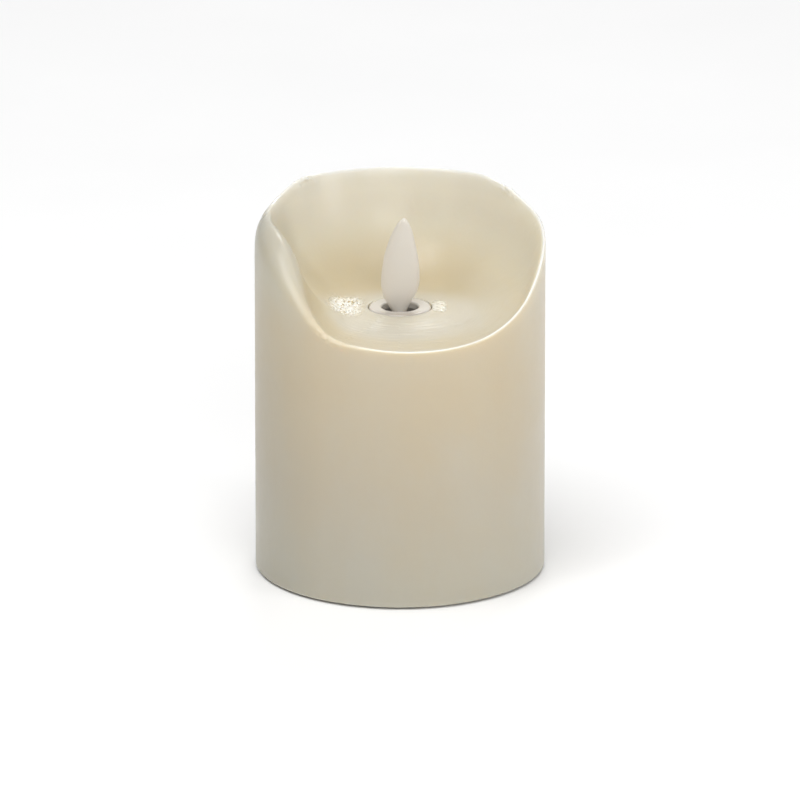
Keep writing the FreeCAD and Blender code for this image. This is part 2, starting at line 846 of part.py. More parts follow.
def battery_spring(side, face):
    """A spring from a contact's face to the flat end of the cell on that side."""
    item = shape_feature(coil_spring(number(face) - number("cell_flat_end") - 0.1))
    item.Placement = FreeCAD.Placement(
        FreeCAD.Vector(side * number(face), side * number("cell_y"), number("cell_z")),
        FreeCAD.Rotation(FreeCAD.Vector(0, 1, 0), -90 * side))
    return item


def contacts():
    plus = fuse(
        box("plus_contact_x", "-cell_y - contact_half", "contact_bottom",
            "contact_thick", "2 * contact_half", "contact_top - contact_bottom"),
        box("plus_contact_x", "-cell_y - tab_half", "contact_top", "contact_thick", "2 * tab_half",
            "tab_top - contact_top"))
    node("plus_contact", plus)
    minus = fuse(
        box("minus_contact_x", "cell_y - contact_half", "contact_bottom",
            "contact_thick", "2 * contact_half", "contact_top - contact_bottom"),
        box("minus_contact_x", "cell_y - tab_half", "contact_top", "contact_thick", "2 * tab_half",
            "tab_top - contact_top"))
    node("minus_contact", group(minus, battery_spring(1, "minus_contact_x")))
    bridge = box("-plus_contact_x - contact_thick", "-cell_y - contact_half", "contact_bottom",
                 "contact_thick", "2 * (cell_y + contact_half)", "contact_top - contact_bottom")
    return node("series_contact", group(bridge, battery_spring(-1, "plus_contact_x")))


# ---- mechanism plate and tower ---------------------------------------------------------------------------


def foot_screw_places():
    return [(x, y) for x in ("-foot_screw_x", "foot_screw_x") for y in ("-foot_screw_y", "foot_screw_y")]


def mechanism_plate():
    body = new_body()
    pad(body, circle(sketch(body, "XY_Plane", "housing_top"), "plate_radius"), "plate_thick")
    for x, y in screw_places():
        boss = sketch(body, "XY_Plane", "housing_top + plate_thick")
        pad(body, circle(boss, "boss_radius", x, y), "boss_height")
    for x, y in screw_places():
        thread = sketch(body, "XY_Plane", "housing_top")
        pocket(body, circle(thread, "screw_shank", x, y), "screw_tip - housing_top")
    holes = sketch(body, "XY_Plane", "housing_top")
    for x, y in foot_screw_places():
        circle(holes, "small_shank", x, y)
    circle(holes, "lead_hole", "lead_hole_x", "lead_hole_y")
    circle(holes, "lead_hole", "lead_hole_west_x", "lead_hole_west_y")
    rectangle(holes, "window_length / 2", "window_half_width", "window_x + window_length / 2", "0")
    pocket(body, holes, "plate_thick")
    return node("mechanism_plate", body)


def ear_places():
    return [("-low_ear_y", "low_ear_z"), ("low_ear_y", "low_ear_z"),
            ("high_ear_front_y", "high_ear_z"), ("high_ear_back_y", "high_ear_z")]


def tower_shells():
    bottom = "housing_top + plate_thick"
    neck_y = "(neck_front + neck_back) / 2"
    neck_half_y = "(neck_back - neck_front) / 2"
    solid = [
        block("foot_half_x", "foot_half_y", bottom, f"{bottom} + foot_thick"),
        block("box_half_x", "box_half_y", bottom, "box_top"),
        block("neck_half_x", neck_half_y, "box_top", "tower_top", y=neck_y),
    ]
    for y, z in ear_places():
        solid.append(bar("x", "ear_radius", "2 * ear_half", "-ear_half", y, z))
    hollow = [
        block("box_half_x - tower_wall", "box_half_y - tower_wall", bottom, "box_top - shoulder_thick"),
        block("neck_half_x - neck_wall", f"{neck_half_y} - neck_wall", "box_top - shoulder_thick - 1",
              "tower_top", y=neck_y),
        block("board_half_x + 0.1", "foot_half_y", "board_bottom - 0.1", "board_bottom + board_thick + 0.1"),
        box("notch_x", "-box_half_y - 1", bottom, "notch_width", "tower_wall + 2", "notch_height"),
        box("-notch_x - notch_width", "box_half_y - tower_wall - 1", bottom,
            "notch_width", "tower_wall + 2", "notch_height"),
    ]
    hollowed = cut(fuse(*solid), *hollow)
    saddles = [
        box("-saddle_half_x", "-saddle_near - saddle_front_depth", "saddle_bottom",
            "2 * saddle_half_x", "saddle_front_depth", "tower_top - saddle_bottom"),
        box("-neck_half_x + neck_wall", "saddle_near", "saddle_bottom",
            "2 * (neck_half_x - neck_wall)", "cross_wall", "tower_top - saddle_bottom"),
    ]
    slots = [
        box("-wire_slot_radius", "-wire_slot_front", "pivot_z", "2 * wire_slot_radius",
            "wire_slot_front - saddle_near + 0.1", "tower_top - pivot_z"),
        bar("y", "wire_slot_radius", "wire_slot_front - saddle_near + 0.1", "0", "-wire_slot_front",
            "pivot_z"),
        box("-wire_slot_radius", "saddle_near - 0.1", "pivot_z", "2 * wire_slot_radius",
            "cross_wall + 0.2", "tower_top - pivot_z"),
        bar("y", "wire_slot_radius", "cross_wall + 0.2", "0", "saddle_near - 0.1", "pivot_z"),
    ]
    for y, z in ear_places():
        slots.append(bar("x", "small_shank + 0.2", "ear_half + 1", "0", y, z))
        slots.append(bar("-x", "small_shank", "ear_half + 1", "0", y, z))
    for x, y in foot_screw_places():
        slots.append(rod("small_shank + 0.2", bottom, f"{bottom} + foot_thick", x, y))
    tower = cut(fuse(hollowed, *saddles), *slots)
    half = (bottom, "foot_half_x + 1", "4 * box_half_y", "tower_top")
    node("tower_left_shell", common(tower, box("-foot_half_x - 1", "-2 * box_half_y", *half)))
    return node("tower_right_shell", common(tower, box("0", "-2 * box_half_y", *half)))


def tower_screws():
    made = []
    for y, z in ear_places():
        pan = screw("small_head", "small_head_height", "small_shank", "2 * ear_half - 0.4")
        made.append(set_screw(pan, "ear_half", y, z, (0, 1, 0), -90))
    node("tower_seam_screws", group(*made))
    made = []
    top = "housing_top + plate_thick + foot_thick"
    for x, y in foot_screw_places():
        pan = screw("small_head", "small_head_height", "small_shank", f"{top} - foot_screw_tip")
        made.append(set_screw(pan, x, y, top, (1, 0, 0), 180))
    return node("tower_foot_screws", group(*made))


def flame_collar():
    body = new_body()
    plate = sketch(body, "XY_Plane", "tower_top")
    rectangle(plate, "neck_half_x", "(neck_back - neck_front) / 2", "0", "(neck_front + neck_back) / 2")
    pad(body, plate, "collar_thick")
    profile = sketch(body, "XZ_Plane")
    polygon(profile, [
        ("0", "tower_top"), ("collar_radius", "tower_top"), ("collar_radius", "collar_top"),
        ("0", "collar_top"),
    ])
    turned(body, profile)
    pocket(body, circle(sketch(body, "XY_Plane", "tower_top"), "collar_bore"), "collar_bore_top - tower_top")
    pocket(body, circle(sketch(body, "XY_Plane", "tower_top"), "collar_hole"), "collar_top - tower_top + 1")
    round_edges(body, "Fillet", "collar_round", flat_at("collar_top"))
    return node("flame_collar", body)


# ---- flame, pivot wire, magnet ---------------------------------------------------------------------------


def flame_vane():
    sections = []
    for index in range(len(FLAME_SECTIONS)):
        ring = doc.addObject("Part::Ellipse", "Section")
        bind(ring, MajorRadius=f"flame_wide_{index:02d}", MinorRadius=f"flame_thick_{index:02d}")
        sections.append(place(ring, f"flame_lean_{index:02d}", "0", f"flame_level_{index:02d}"))
    leaf = doc.addObject("Part::Loft", "Leaf")
    leaf.Sections = sections
    leaf.Solid = True
    eye_z = "pivot_z - pivot_dip"
    stem = fuse(
        leaf,
        block("stem_half_x", "stem_half_y", eye_z, "stem_top"),
        bar("y", "eye_radius", "2 * stem_half_y", "0", "-stem_half_y", eye_z),
        block("tail_half_x", "tail_half_y", "tail_bottom", eye_z),
        rod("cup_radius", "cup_bottom", "cup_top"),
    )
    vane = cut(
        stem,
        bar("y", "eye_hole", "2 * stem_half_y + 1", "0", "-stem_half_y - 0.5", eye_z),
        rod("magnet_radius", "cup_bottom - 1", "magnet_bottom + magnet_height"),
    )
    node("flame_vane", vane)
    body = new_body()
    pad(body, circle(sketch(body, "XY_Plane", "magnet_bottom"), "magnet_radius"), "magnet_height")
    return node("flame_magnet", body)


def pivot_wire():
    seat, dip = number("pivot_z"), number("pivot_z") - number("pivot_dip")
    front, back = number("wire_front_end"), number("wire_back_end")
    inner, flat = number("wire_seat_inner"), number("wire_flat")
    points = [(0, -front, seat), (0, -inner, seat), (0, -flat, dip), (0, flat, dip), (0, inner, seat),
              (0, back, seat)]
    return node("pivot_wire", shape_feature(tube(points, number("pivot_wire"))))


# ---- lamp ------------------------------------------------------------------------------------------------


def lean(item):
    """Stands a part made on the z axis in the lamp's leaning place."""
    item.Placement.Rotation = FreeCAD.Rotation(FreeCAD.Vector(1, 0, 0), number("led_lean"))
    item.setExpression("Placement.Rotation.Angle", cell("led_lean"))
    return place(item, "0", "led_y", "led_z")


def lamp():
    body = new_body()
    profile = sketch(body, "XZ_Plane")
    polygon(profile, [
        ("0", "0"), ("led_flange_radius", "0"), ("led_flange_radius", "led_flange"),
        ("led_radius", "led_flange"), ("led_radius", "led_body"),
        ("0.86 * led_radius", "led_body + 0.5 * led_radius"),
        ("0.5 * led_radius", "led_body + 0.86 * led_radius"), ("0", "led_body + led_radius"),
    ])
    turned(body, profile)
    node("led_lamp", lean(body))
    leads = []
    for side in ("-led_lead_x", "led_lead_x"):
        leads.append(rod("led_lead_radius", "-led_lead_long", "0", side, "0"))
    node("led_leads", lean(group(*leads)))
    bay_front, bay_back = "saddle_near + cross_wall + holder_play", "neck_back - neck_wall - holder_play"
    slab = block("neck_half_x - neck_wall - holder_play", f"({bay_back} - ({bay_front})) / 2",
                 "holder_bottom", "holder_bottom + holder_height", y=f"({bay_back} + {bay_front}) / 2")
    bore = lean(group(rod("led_bore", "0", "8")))
    return node("led_holder", cut(slab, bore))


# ---- circuit board and coil ------------------------------------------------------------------------------


def circuit_board():
    body = new_body()
    outline = sketch(body, "XY_Plane", "board_bottom")
    rectangle(outline, "board_half_x", "foot_half_y - 0.2")
    pad(body, outline, "board_thick")
    tongue = sketch(body, "XY_Plane", "board_bottom")
    rectangle(tongue, "box_half_x - tower_wall - 0.3", "board_half_y")
    pad(body, tongue, "board_thick")
    return node("circuit_board", body)


def coil():
    top_of_board = "board_bottom + board_thick"
    body = new_body()
    profile = sketch(body, "XZ_Plane")
    polygon(profile, [
        ("core_radius", top_of_board), ("bobbin_radius", top_of_board),
        ("bobbin_radius", f"{top_of_board} + bobbin_flange"),
        ("bobbin_hub", f"{top_of_board} + bobbin_flange"),
        ("bobbin_hub", "bobbin_top - bobbin_flange"), ("bobbin_radius", "bobbin_top - bobbin_flange"),
        ("bobbin_radius", "bobbin_top"), ("core_radius", "bobbin_top"),
    ])
    turned(body, profile)
    node("coil_bobbin", body)
    winding = cut(rod("winding_radius", f"{top_of_board} + bobbin_flange", "bobbin_top - bobbin_flange"),
                  rod("bobbin_hub", f"{top_of_board} + bobbin_flange", "bobbin_top - bobbin_flange"))
    node("coil_winding", winding)
    node("coil_core", rod("core_radius", top_of_board, "core_top"))
    reach, side = number("winding_radius"), number("coil_wire_radius")
    base, rise = number(top_of_board), number("bobbin_flange")
    ends = []
    for way in (-1, 1):
        points = [(way * 2, -reach - side, base + rise + 1.4), (way * 2.1, -reach - 1.2, base + rise + 0.6),
                  (way * 2.6, -reach - 1.9, base)]
        ends.append(shape_feature(tube(points, side)))
    return node("coil_ends", group(*ends))


def board_parts():
    top = "board_bottom + board_thick"
    node("controller_chip", block("chip_width / 2", "chip_length / 2", f"{top} + chip_stand",
                                  f"{top} + chip_stand + chip_height", "chip_x", "0"))
    legs = []
    knee = f"{top} + chip_stand + chip_height / 2"
    for side in (-1, 1):
        x = f"chip_x + {side} * (chip_width / 2 + leg_reach / 2)"
        for index in range(4):
            y = f"({index} - 1.5) * leg_pitch"
            legs.append(block("leg_reach / 2", "leg_wide / 2", top, knee, x, y))
    node("chip_legs", group(*legs))
    low, high = f"{top} + 1", f"{top} + 1.6"
    can = cut(rod("cap_radius", top, f"{top} + cap_height", "cap_x", "cap_y"),
              cut(rod("cap_radius + 1", low, high, "cap_x", "cap_y"),
                  rod("cap_radius - cap_groove", low, high, "cap_x", "cap_y")))
    node("smoothing_capacitor", can)
    chips = []
    for index in range(4):
        chips.append(block("resistor_length / 2", "resistor_width / 2", top, f"{top} + resistor_height",
                           "resistor_x", f"resistor_y - {index} * resistor_pitch + 3.2"))
    node("chip_resistors", group(*chips))
    drivers = []
    for side in (-1, 1):
        drivers.append(block("transistor_length / 2", "transistor_width / 2", top,
                             f"{top} + transistor_height", f"{side} * transistor_x", "transistor_y"))
    return node("drive_transistors", group(*drivers))


# ---- hook-up wires and adhesive --------------------------------------------------------------------------


def leads():
    thick, thin = number("lead_radius"), number("led_wire_radius")
    under_board, on_board = number("board_bottom"), number("board_bottom") + number("board_thick")
    tab, cell_y = number("tab_top"), number("cell_y")
    plus_x, minus_x = number("plus_contact_x"), number("minus_contact_x")
    pins = number("floor_top") + number("switch_height") + number("pin_long")
    switch_y = number("switch_y")
    notch_y, notch_z = number("box_half_y"), number("housing_top") + number("plate_thick") + 1.3
    red = [(plus_x - thick, -cell_y, tab - 1), (plus_x - 1.6, -cell_y - 1.2, tab + 2.6),
           (22.5, -13.2, 25.2), (15.5, -17.6, 24.4), (9.0, -18.0, notch_z + 0.1),
           (7.0, -notch_y, notch_z), (7.0, -9.0, notch_z - 0.2), (7.0, -9.0, under_board)]
    node("battery_lead_red", shape_feature(tube(red, thick)))
    hole_x, hole_y = number("lead_hole_x"), number("lead_hole_y")
    black = [(minus_x - thick, cell_y, tab - 1), (minus_x - 1.4, cell_y + 1.4, tab + 2.4), (22.6, 15.4, 26.0),
             (hole_x + 0.9, hole_y - 1.2, 25.4), (hole_x, hole_y, 20.5), (hole_x - 1.2, hole_y + 1.0, 15.6),
             (11.4, 25.2, 13.4), (6.4, 25.9, 14.6), (3.0, switch_y, 13.8), (3.0, switch_y, pins)]
    node("battery_lead_black", shape_feature(tube(black, thick)))
    west_x, west_y = number("lead_hole_west_x"), number("lead_hole_west_y")
    link = [(0, switch_y, pins), (-0.6, switch_y - 0.2, pins + 4.4), (west_x + 0.6, west_y + 0.6, 17.4),
            (west_x, west_y, 22.0), (west_x - 0.4, west_y - 2.6, 25.2), (west_x - 1.4, 17.2, notch_z + 0.3),
            (-7.0, notch_y, notch_z), (-7.0, 9.2, notch_z - 0.2), (-7.0, 9.2, under_board)]
    node("switch_lead_black", shape_feature(tube(link, thick)))
    for label, side in (("led_wire_red", 1), ("led_wire_black", -1)):
        x = side * number("led_lead_x")
        far = side * 2.4
        points = [(x, 9.1, 56.0), (x + side * 0.1, 9.0, 48.0), (x, 9.1, 39.8), (far, 10.5, 34.4),
                  (far, 10.6, on_board)]
        node(label, shape_feature(tube(points, thin)))


def adhesive_ring():
    bottom, top = "floor_top", "floor_top + adhesive_height"
    return node("adhesive_ring", cut(rod("bore_radius", bottom, top), rod("skirt_radius", bottom, top)))


# ---- build, check and write ------------------------------------------------------------------------------


def build():
    fill_sheet()
    wax_shell()
    base_housing()
    polarity_marks()
    battery_door()
    door_foam()
    rubber_feet()
    housing_screws()
    slide_switch()
    aa_cell("aa_cell_1", -1)
    aa_cell("aa_cell_2", 1)
    contacts()
    mechanism_plate()
    tower_shells()
    tower_screws()
    flame_collar()
    flame_vane()
    pivot_wire()
    lamp()
    circuit_board()
    coil()
    board_parts()
    leads()
    adhesive_ring()
    doc.recompute()


def check():
    for item in doc.Objects:
        if any(word in item.State for word in ("Invalid", "Error")):
            raise RuntimeError(f"{item.Label} failed: {item.State}")
    for item in nodes:
        if item.Shape.isNull() or not item.Shape.isValid() or not item.Shape.Solids:
            raise RuntimeError(f"{item.Label} has no valid solid")
        print(f"{item.Label}: {len(item.Shape.Solids)} solids, {item.Shape.Volume:.1f} mm3")


def write():
    os.makedirs("parts", exist_ok=True)
    for item in nodes:
        item.Shape.exportStep(os.path.join("parts", item.Label + ".step"))


build()
check()
write()
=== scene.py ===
"""The looks of a flameless pillar candle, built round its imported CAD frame.

The wax pillar is a new mesh, lofted from the CAD rim.  Every other CAD piece stays and gets a procedural
material.  +Z is up, and the front of the scooped top faces -Y.  The wax is worked out in mm, and everything
else in metres.  Angles round the candle are in degrees, start at the front and grow towards +X.
"""

import json
import math

import bpy
import numpy as np
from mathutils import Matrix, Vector, noise
from mathutils.bvhtree import BVHTree


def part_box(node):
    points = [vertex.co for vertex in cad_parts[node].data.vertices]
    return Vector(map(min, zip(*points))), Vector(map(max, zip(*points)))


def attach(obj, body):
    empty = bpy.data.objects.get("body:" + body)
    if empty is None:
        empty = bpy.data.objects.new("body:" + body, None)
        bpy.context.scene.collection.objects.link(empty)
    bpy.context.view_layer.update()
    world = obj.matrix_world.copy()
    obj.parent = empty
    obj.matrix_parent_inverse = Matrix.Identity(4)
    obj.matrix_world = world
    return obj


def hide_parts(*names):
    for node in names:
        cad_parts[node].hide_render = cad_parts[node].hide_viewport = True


MM = 0.001

# camera: from the front and a little above, a long way off
VIEW_ELEVATION = 18
VIEW_DISTANCE = 3.0
VIEW_WIDTH = 0.210
VIEW_AIM = Vector((0, 0, 0.0452))
SENSOR_WIDTH = 36.0

# stage: the room's light, and each soft box's azimuth, elevation, distance, width, height and watts
ROOM_LIGHT = 0.46
ROOM_DIM_SIDE = 0.12
SOFT_BOXES = {
    "top": (-28, 72, 1.6, 1.1, 1.1, 14.8),
    "back": (172, 46, 1.6, 0.55, 0.35, 4.2),
    "front": (12, 30, 1.2, 0.6, 0.5, 2.9),
    "front_right": (62, 6, 0.9, 0.06, 0.6, 1.6),
    "front_left": (-43, 24, 0.9, 0.035, 0.6, 0.5),
}
FLOOR_WIDTH = 12
FLOOR_DROP = 0.03 * MM

# wax pillar
TURN_STEPS = 720
CREST_INSETS = np.arange(0.3, 4.6, 0.2)
CREST_HARMONICS = 22
CREST_SPARE = 0.25
HOLE_RADIUS = 8.4
HOLE_ROUND = 0.3
BORE_RADIUS = 33.8
BORE_CEILING = 67.0
FOOT_ROUND = 0.6
COLLAR_STEP = 0.1
FLOOR_FALL = 1.0
BOWL_START = 10.6
SHALLOW_WALL = 3.8

# the lip's centre and spread in degrees where it is wide, where it is high, and where it is soft and matt
WIDE_LIP = (-66, 27)
HIGH_LIP = (-92, 26)
SOFT_LIP = (-62, 48)

# the lip's reach out and in from its crest, and the bowl's curve: plain, then what the wide and high lips add
OUT_WIDE = (0.45, 4.0, 1.8)
OUT_DEEP = (0.6, 5.5, 4.0)
IN_WIDE = (0.9, 2.2, 0.0)
IN_DEEP = (1.1, 1.4, 0.0)
BOWL_POWER = (2.3, -0.2, 0.0)
BOWL_STEEP = (0.985, -0.04, 0.0)

# the crest's (centre, spread, lift): slow rises and falls, and small chips
CREST_LIFTS = [(-140, 20, 0.9), (140, 20, 0.9), (180, 30, 0.5), (-98, 18, -0.9), (100, 20, -0.9)]
CREST_CHIPS = [
    (-138.5, 1.6, 0.45), (-134.5, 2.2, -0.35), (130, 1.5, 0.55), (126.5, 1.8, -0.3), (-108, 3, 0.25),
]

# relief: (height, size across, size up) inside and outside, and for the streaks at the front of the floor
# (height, size outwards, degrees round, seed)
INSIDE_RIPPLES = [(0.22, 15, 15), (0.05, 4, 9)]
OUTSIDE_RIPPLES = [(0.05, 22, 30)]
FLOOR_STREAKS = [(0.07, 0.9, 26, 0), (0.05, 0.45, 14, 9)]
STREAKED_FRONT = (0, 70)
OUTSIDE_SINK = 0.05
FAINTEST = 0.01

# broken wax: (x, y, half width, half depth, height) on the floor, and (centre, spread, height) on the rim
ROUGH_PATCHES = [(-14.2, 0.4, 4.4, 7.6, 0.6), (10.2, 0.5, 1.8, 4.8, 0.25)]
CRUMBLED_RIM = [(-137, 6, 0.55), (129, 5.5, 0.45), (-31, 7, 0.25), (104, 7, 0.2)]

# what the wax mesh tells its material, from 0 to 1 at each point
MELTED = "melted"
GLINTING = "glinting"
POLISHED_AND_HIGHLIT = "polished_and_highlit"
CORNER_SHADE = "corner_shade"
SHOULDER_SHADE = "shoulder"

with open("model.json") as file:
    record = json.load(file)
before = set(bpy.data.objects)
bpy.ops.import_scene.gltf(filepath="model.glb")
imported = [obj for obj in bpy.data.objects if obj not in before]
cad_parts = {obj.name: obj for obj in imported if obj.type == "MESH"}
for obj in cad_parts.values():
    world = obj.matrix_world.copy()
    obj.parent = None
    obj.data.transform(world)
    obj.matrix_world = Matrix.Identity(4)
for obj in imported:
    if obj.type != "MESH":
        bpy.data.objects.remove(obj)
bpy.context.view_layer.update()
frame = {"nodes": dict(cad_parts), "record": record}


# ---- reading the frame -----------------------------------------------------------------------------------


def tree_of(node):
    """A ray-casting tree of a CAD node's mesh."""
    mesh = frame["nodes"][node].data
    corners = [v.co.copy() for v in mesh.vertices]
    return BVHTree.FromPolygons(corners, [tuple(p.vertices) for p in mesh.polygons])


def smooth_round(values):
    """Keeps the slow harmonics of values spaced evenly round the candle, fading the fast ones."""
    waves = np.fft.rfft(values)
    order = np.arange(len(waves))
    waves *= np.exp(-((order / CREST_HARMONICS) ** 4))
    return np.fft.irfft(waves, len(values))


def crest_heights(angles):
    """The height in mm of the CAD rim's crest at each angle."""
    tree = tree_of("wax_shell")
    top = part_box("wax_shell")[1]
    heights = []
    for angle in angles:
        best = 0.0
        for inset in CREST_INSETS * MM:
            r = top.x - inset
            start = Vector((r * math.sin(angle), -r * math.cos(angle), top.z + 10 * MM))
            hit = tree.ray_cast(start, Vector((0, 0, -1)))[0]
            best = max(best, hit.z if hit else 0.0)
        heights.append(best / MM)
    return smooth_round(np.array(heights))


# ---- mesh helpers ----------------------------------------------------------------------------------------


def add_object(name, mesh):
    piece = bpy.data.objects.new(name, mesh)
    bpy.context.scene.collection.objects.link(piece)
    return piece


def ring_mesh(name, points):
    """A closed smooth mesh through a grid of points: rings first, steps round each ring second."""
    count, steps = points.shape[:2]
    index = np.arange(count * steps).reshape(count, steps)
    up, on = np.roll(index, -1, axis=0), np.roll(index, -1, axis=1)
    faces = np.stack([index, on, np.roll(on, -1, axis=0), up], axis=-1).reshape(-1, 4)
    mesh = bpy.data.meshes.new(name)
    mesh.from_pydata(points.reshape(-1, 3).tolist(), [], faces.tolist())
    mesh.polygons.foreach_set("use_smooth", [True] * len(faces))
    mesh.update()
    return mesh


def grid_normals(points):
    """Outward normals at a grid of points, rings first."""
    along = np.roll(points, -1, axis=0) - np.roll(points, 1, axis=0)
    across = np.roll(points, -1, axis=1) - np.roll(points, 1, axis=1)
    normals = np.cross(across, along)
    return normals / np.maximum(np.linalg.norm(normals, axis=-1, keepdims=True), 1e-12)


def spline_rings(controls):
    """Rings along the uniform cubic B-spline that starts and ends at the first and last control.

    Each control is a ring (radius, height, steps), and its steps divide the stretch up to the next one."""
    count = max(np.size(r) for r, z, steps in controls)
    rings = [np.stack([np.broadcast_to(r, count), np.broadcast_to(z, count)]) for r, z, steps in controls]
    rings = [2 * rings[0] - rings[1], *rings, 2 * rings[-1] - rings[-2]]
    line = []
    for i in range(len(controls) - 1):
        a, b, c, d = rings[i:i + 4]
        for t in np.arange(controls[i][2]) / controls[i][2]:
            line.append(((1 - t) ** 3 * a + (3 * t**3 - 6 * t**2 + 4) * b
                         + (-3 * t**3 + 3 * t**2 + 3 * t + 1) * c + t**3 * d) / 6)
    line.append(rings[-2])
    return line


def straight_rings(start, end, count):
    """Rings on the straight line after start up to end."""
    return [start + (end - start) * t for t in np.linspace(0, 1, count + 1)[1:]]


def smoothstep(x):
    """A soft step from 0 to 1 as x goes from 0 to 1."""
    x = np.clip(x, 0, 1)
    return x * x * (3 - 2 * x)


def angle_gap(degrees, centre):
    """The signed angle from a centre, between -180 and 180 degrees."""
    return (degrees - centre + 180) % 360 - 180


def bell(gap, spread, power=2):
    """1 at no gap, falling towards 0 beyond the spread, the squarer the higher the power."""
    return np.exp(-((gap / spread) ** power))


def bell_round(degrees, centre, spread, power=2):
    """A bell round the candle."""
    return bell(angle_gap(degrees, centre), spread, power)


def noise_where(mask, x, y, z):
    """Smooth noise, about -1 to 1, times a mask, worked out only where the mask counts."""
    x, y, z = (np.broadcast_to(v, mask.shape) for v in (x, y, z))
    field = np.zeros(mask.shape)
    for spot in zip(*np.nonzero(mask > FAINTEST)):
        field[spot] = noise.noise(Vector((x[spot], y[spot], z[spot])))
    return field * mask


# ---- wax pillar ------------------------------------------------------------------------------------------


def lifted(degrees, heights, lifts):
    """Heights with each (centre, spread, lift) bump or dip added, kept under the top of the CAD box."""
    for centre, spread, lift in lifts:
        heights = heights + lift * bell_round(degrees, centre, spread)
    return np.minimum(heights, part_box("wax_shell")[1].z / MM - CREST_SPARE)


def bowl_rise(s, power, steep):
    """A superellipse's height from 0 to 1 over s from 0 to 1, steeper towards the end."""
    return (1 - (1 - (steep * s) ** power) ** (1 / power)) / (1 - (1 - steep**power) ** (1 / power))


def collar_top():
    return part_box("flame_collar")[1].z / MM


def by_lip(degrees, sizes):
    """A size at each angle: its plain value, and what the wide lip and the high lip add."""
    plain, for_wide, for_high = sizes
    return plain + for_wide * bell_round(degrees, *WIDE_LIP) + for_high * bell_round(degrees, *HIGH_LIP)


def wax_section(degrees, crest):
    """Control rings of the wax from the collar's hole over the floor, bowl and lip and down to the foot."""
    low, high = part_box("wax_shell")
    radius, foot = high.x / MM, low.z / MM
    floor = collar_top() - COLLAR_STEP
    base = floor - FLOOR_FALL
    out_wide, out_deep = by_lip(degrees, OUT_WIDE), by_lip(degrees, OUT_DEEP)
    in_wide = by_lip(degrees, IN_WIDE)
    in_deep = by_lip(degrees, IN_DEEP) * np.clip((crest - base) / SHALLOW_WALL, 0.1, 1.0)
    crest_r = radius - out_wide - 0.1
    lip_r, lip_z = crest_r - in_wide, crest - in_deep
    power, steep = by_lip(degrees, BOWL_POWER), by_lip(degrees, BOWL_STEEP)
    controls = [
        (HOLE_RADIUS, BORE_CEILING, 4), (HOLE_RADIUS, floor - 1.2, 3), (HOLE_RADIUS, floor - HOLE_ROUND, 3),
        (HOLE_RADIUS + 0.1, floor - 0.04, 4), (HOLE_RADIUS + HOLE_ROUND, floor, 4),
        (BOWL_START - 1.2, floor, 5),
    ]
    for s in np.linspace(0, 1, 15):
        fall = FLOOR_FALL * smoothstep(s / 0.4)
        rise = (lip_z - base) * bowl_rise(s, power, steep)
        controls.append((BOWL_START + s * (lip_r - BOWL_START), floor - fall + rise, 8))
    chipped = lifted(degrees, crest, CREST_CHIPS)
    controls += [
        (crest_r - 0.45 * in_wide, crest - 0.22 * in_deep, 5),
        (crest_r, chipped + 0.1 * in_deep + 0.04 * out_deep, 5),
        (crest_r + 0.65 * out_wide, crest - 0.1 * out_deep, 5),
        (radius - 0.02 * out_wide, crest - 0.5 * out_deep, 5), (radius, crest - 1.1 * out_deep, 5),
    ]
    side_top, side_foot = crest - 1.1 * out_deep - 1.0, foot + 2.5 * FOOT_ROUND
    for t in np.linspace(0, 1, 11):
        controls.append((radius, side_top + t * (side_foot - side_top), 7))
    controls += [
        (radius, foot + FOOT_ROUND, 4), (radius - 0.08, foot + 0.35 * FOOT_ROUND, 4),
        (radius - 0.4 * FOOT_ROUND, foot, 4), (radius - FOOT_ROUND, foot, 1),
    ]
    return controls


def wax_grid(degrees, crest):
    """The whole closed section at each angle as (radius, height) rings, ending just short of its start."""
    rings = spline_rings(wax_section(degrees, crest))
    foot = rings[-1][1]
    bore_foot = np.stack([np.full_like(foot, BORE_RADIUS), foot])
    bore_top = np.stack([np.full_like(foot, BORE_RADIUS), np.full_like(foot, BORE_CEILING)])
    rings += straight_rings(rings[-1], bore_foot, 3)
    rings += straight_rings(bore_foot, bore_top, 8)
    rings += straight_rings(bore_top, rings[0], 8)[:-1]
    return np.array(rings)


def rows_past_crest(points):
    """Each ring's place, as a column, counted outwards and down from the ring along the rim's crest."""
    crest = np.argmax(points[:, TURN_STEPS // 2, 2])
    return np.arange(len(points))[:, None] - crest


def rough_patch(points, px, py, wide, deep):
    """From 0 to 1 over one patch of broken, glinting wax on the floor of the bowl."""
    x, y = points[..., 0], points[..., 1]
    return np.exp(-(((x - px) / wide) ** 4) - ((y - py) / deep) ** 4)


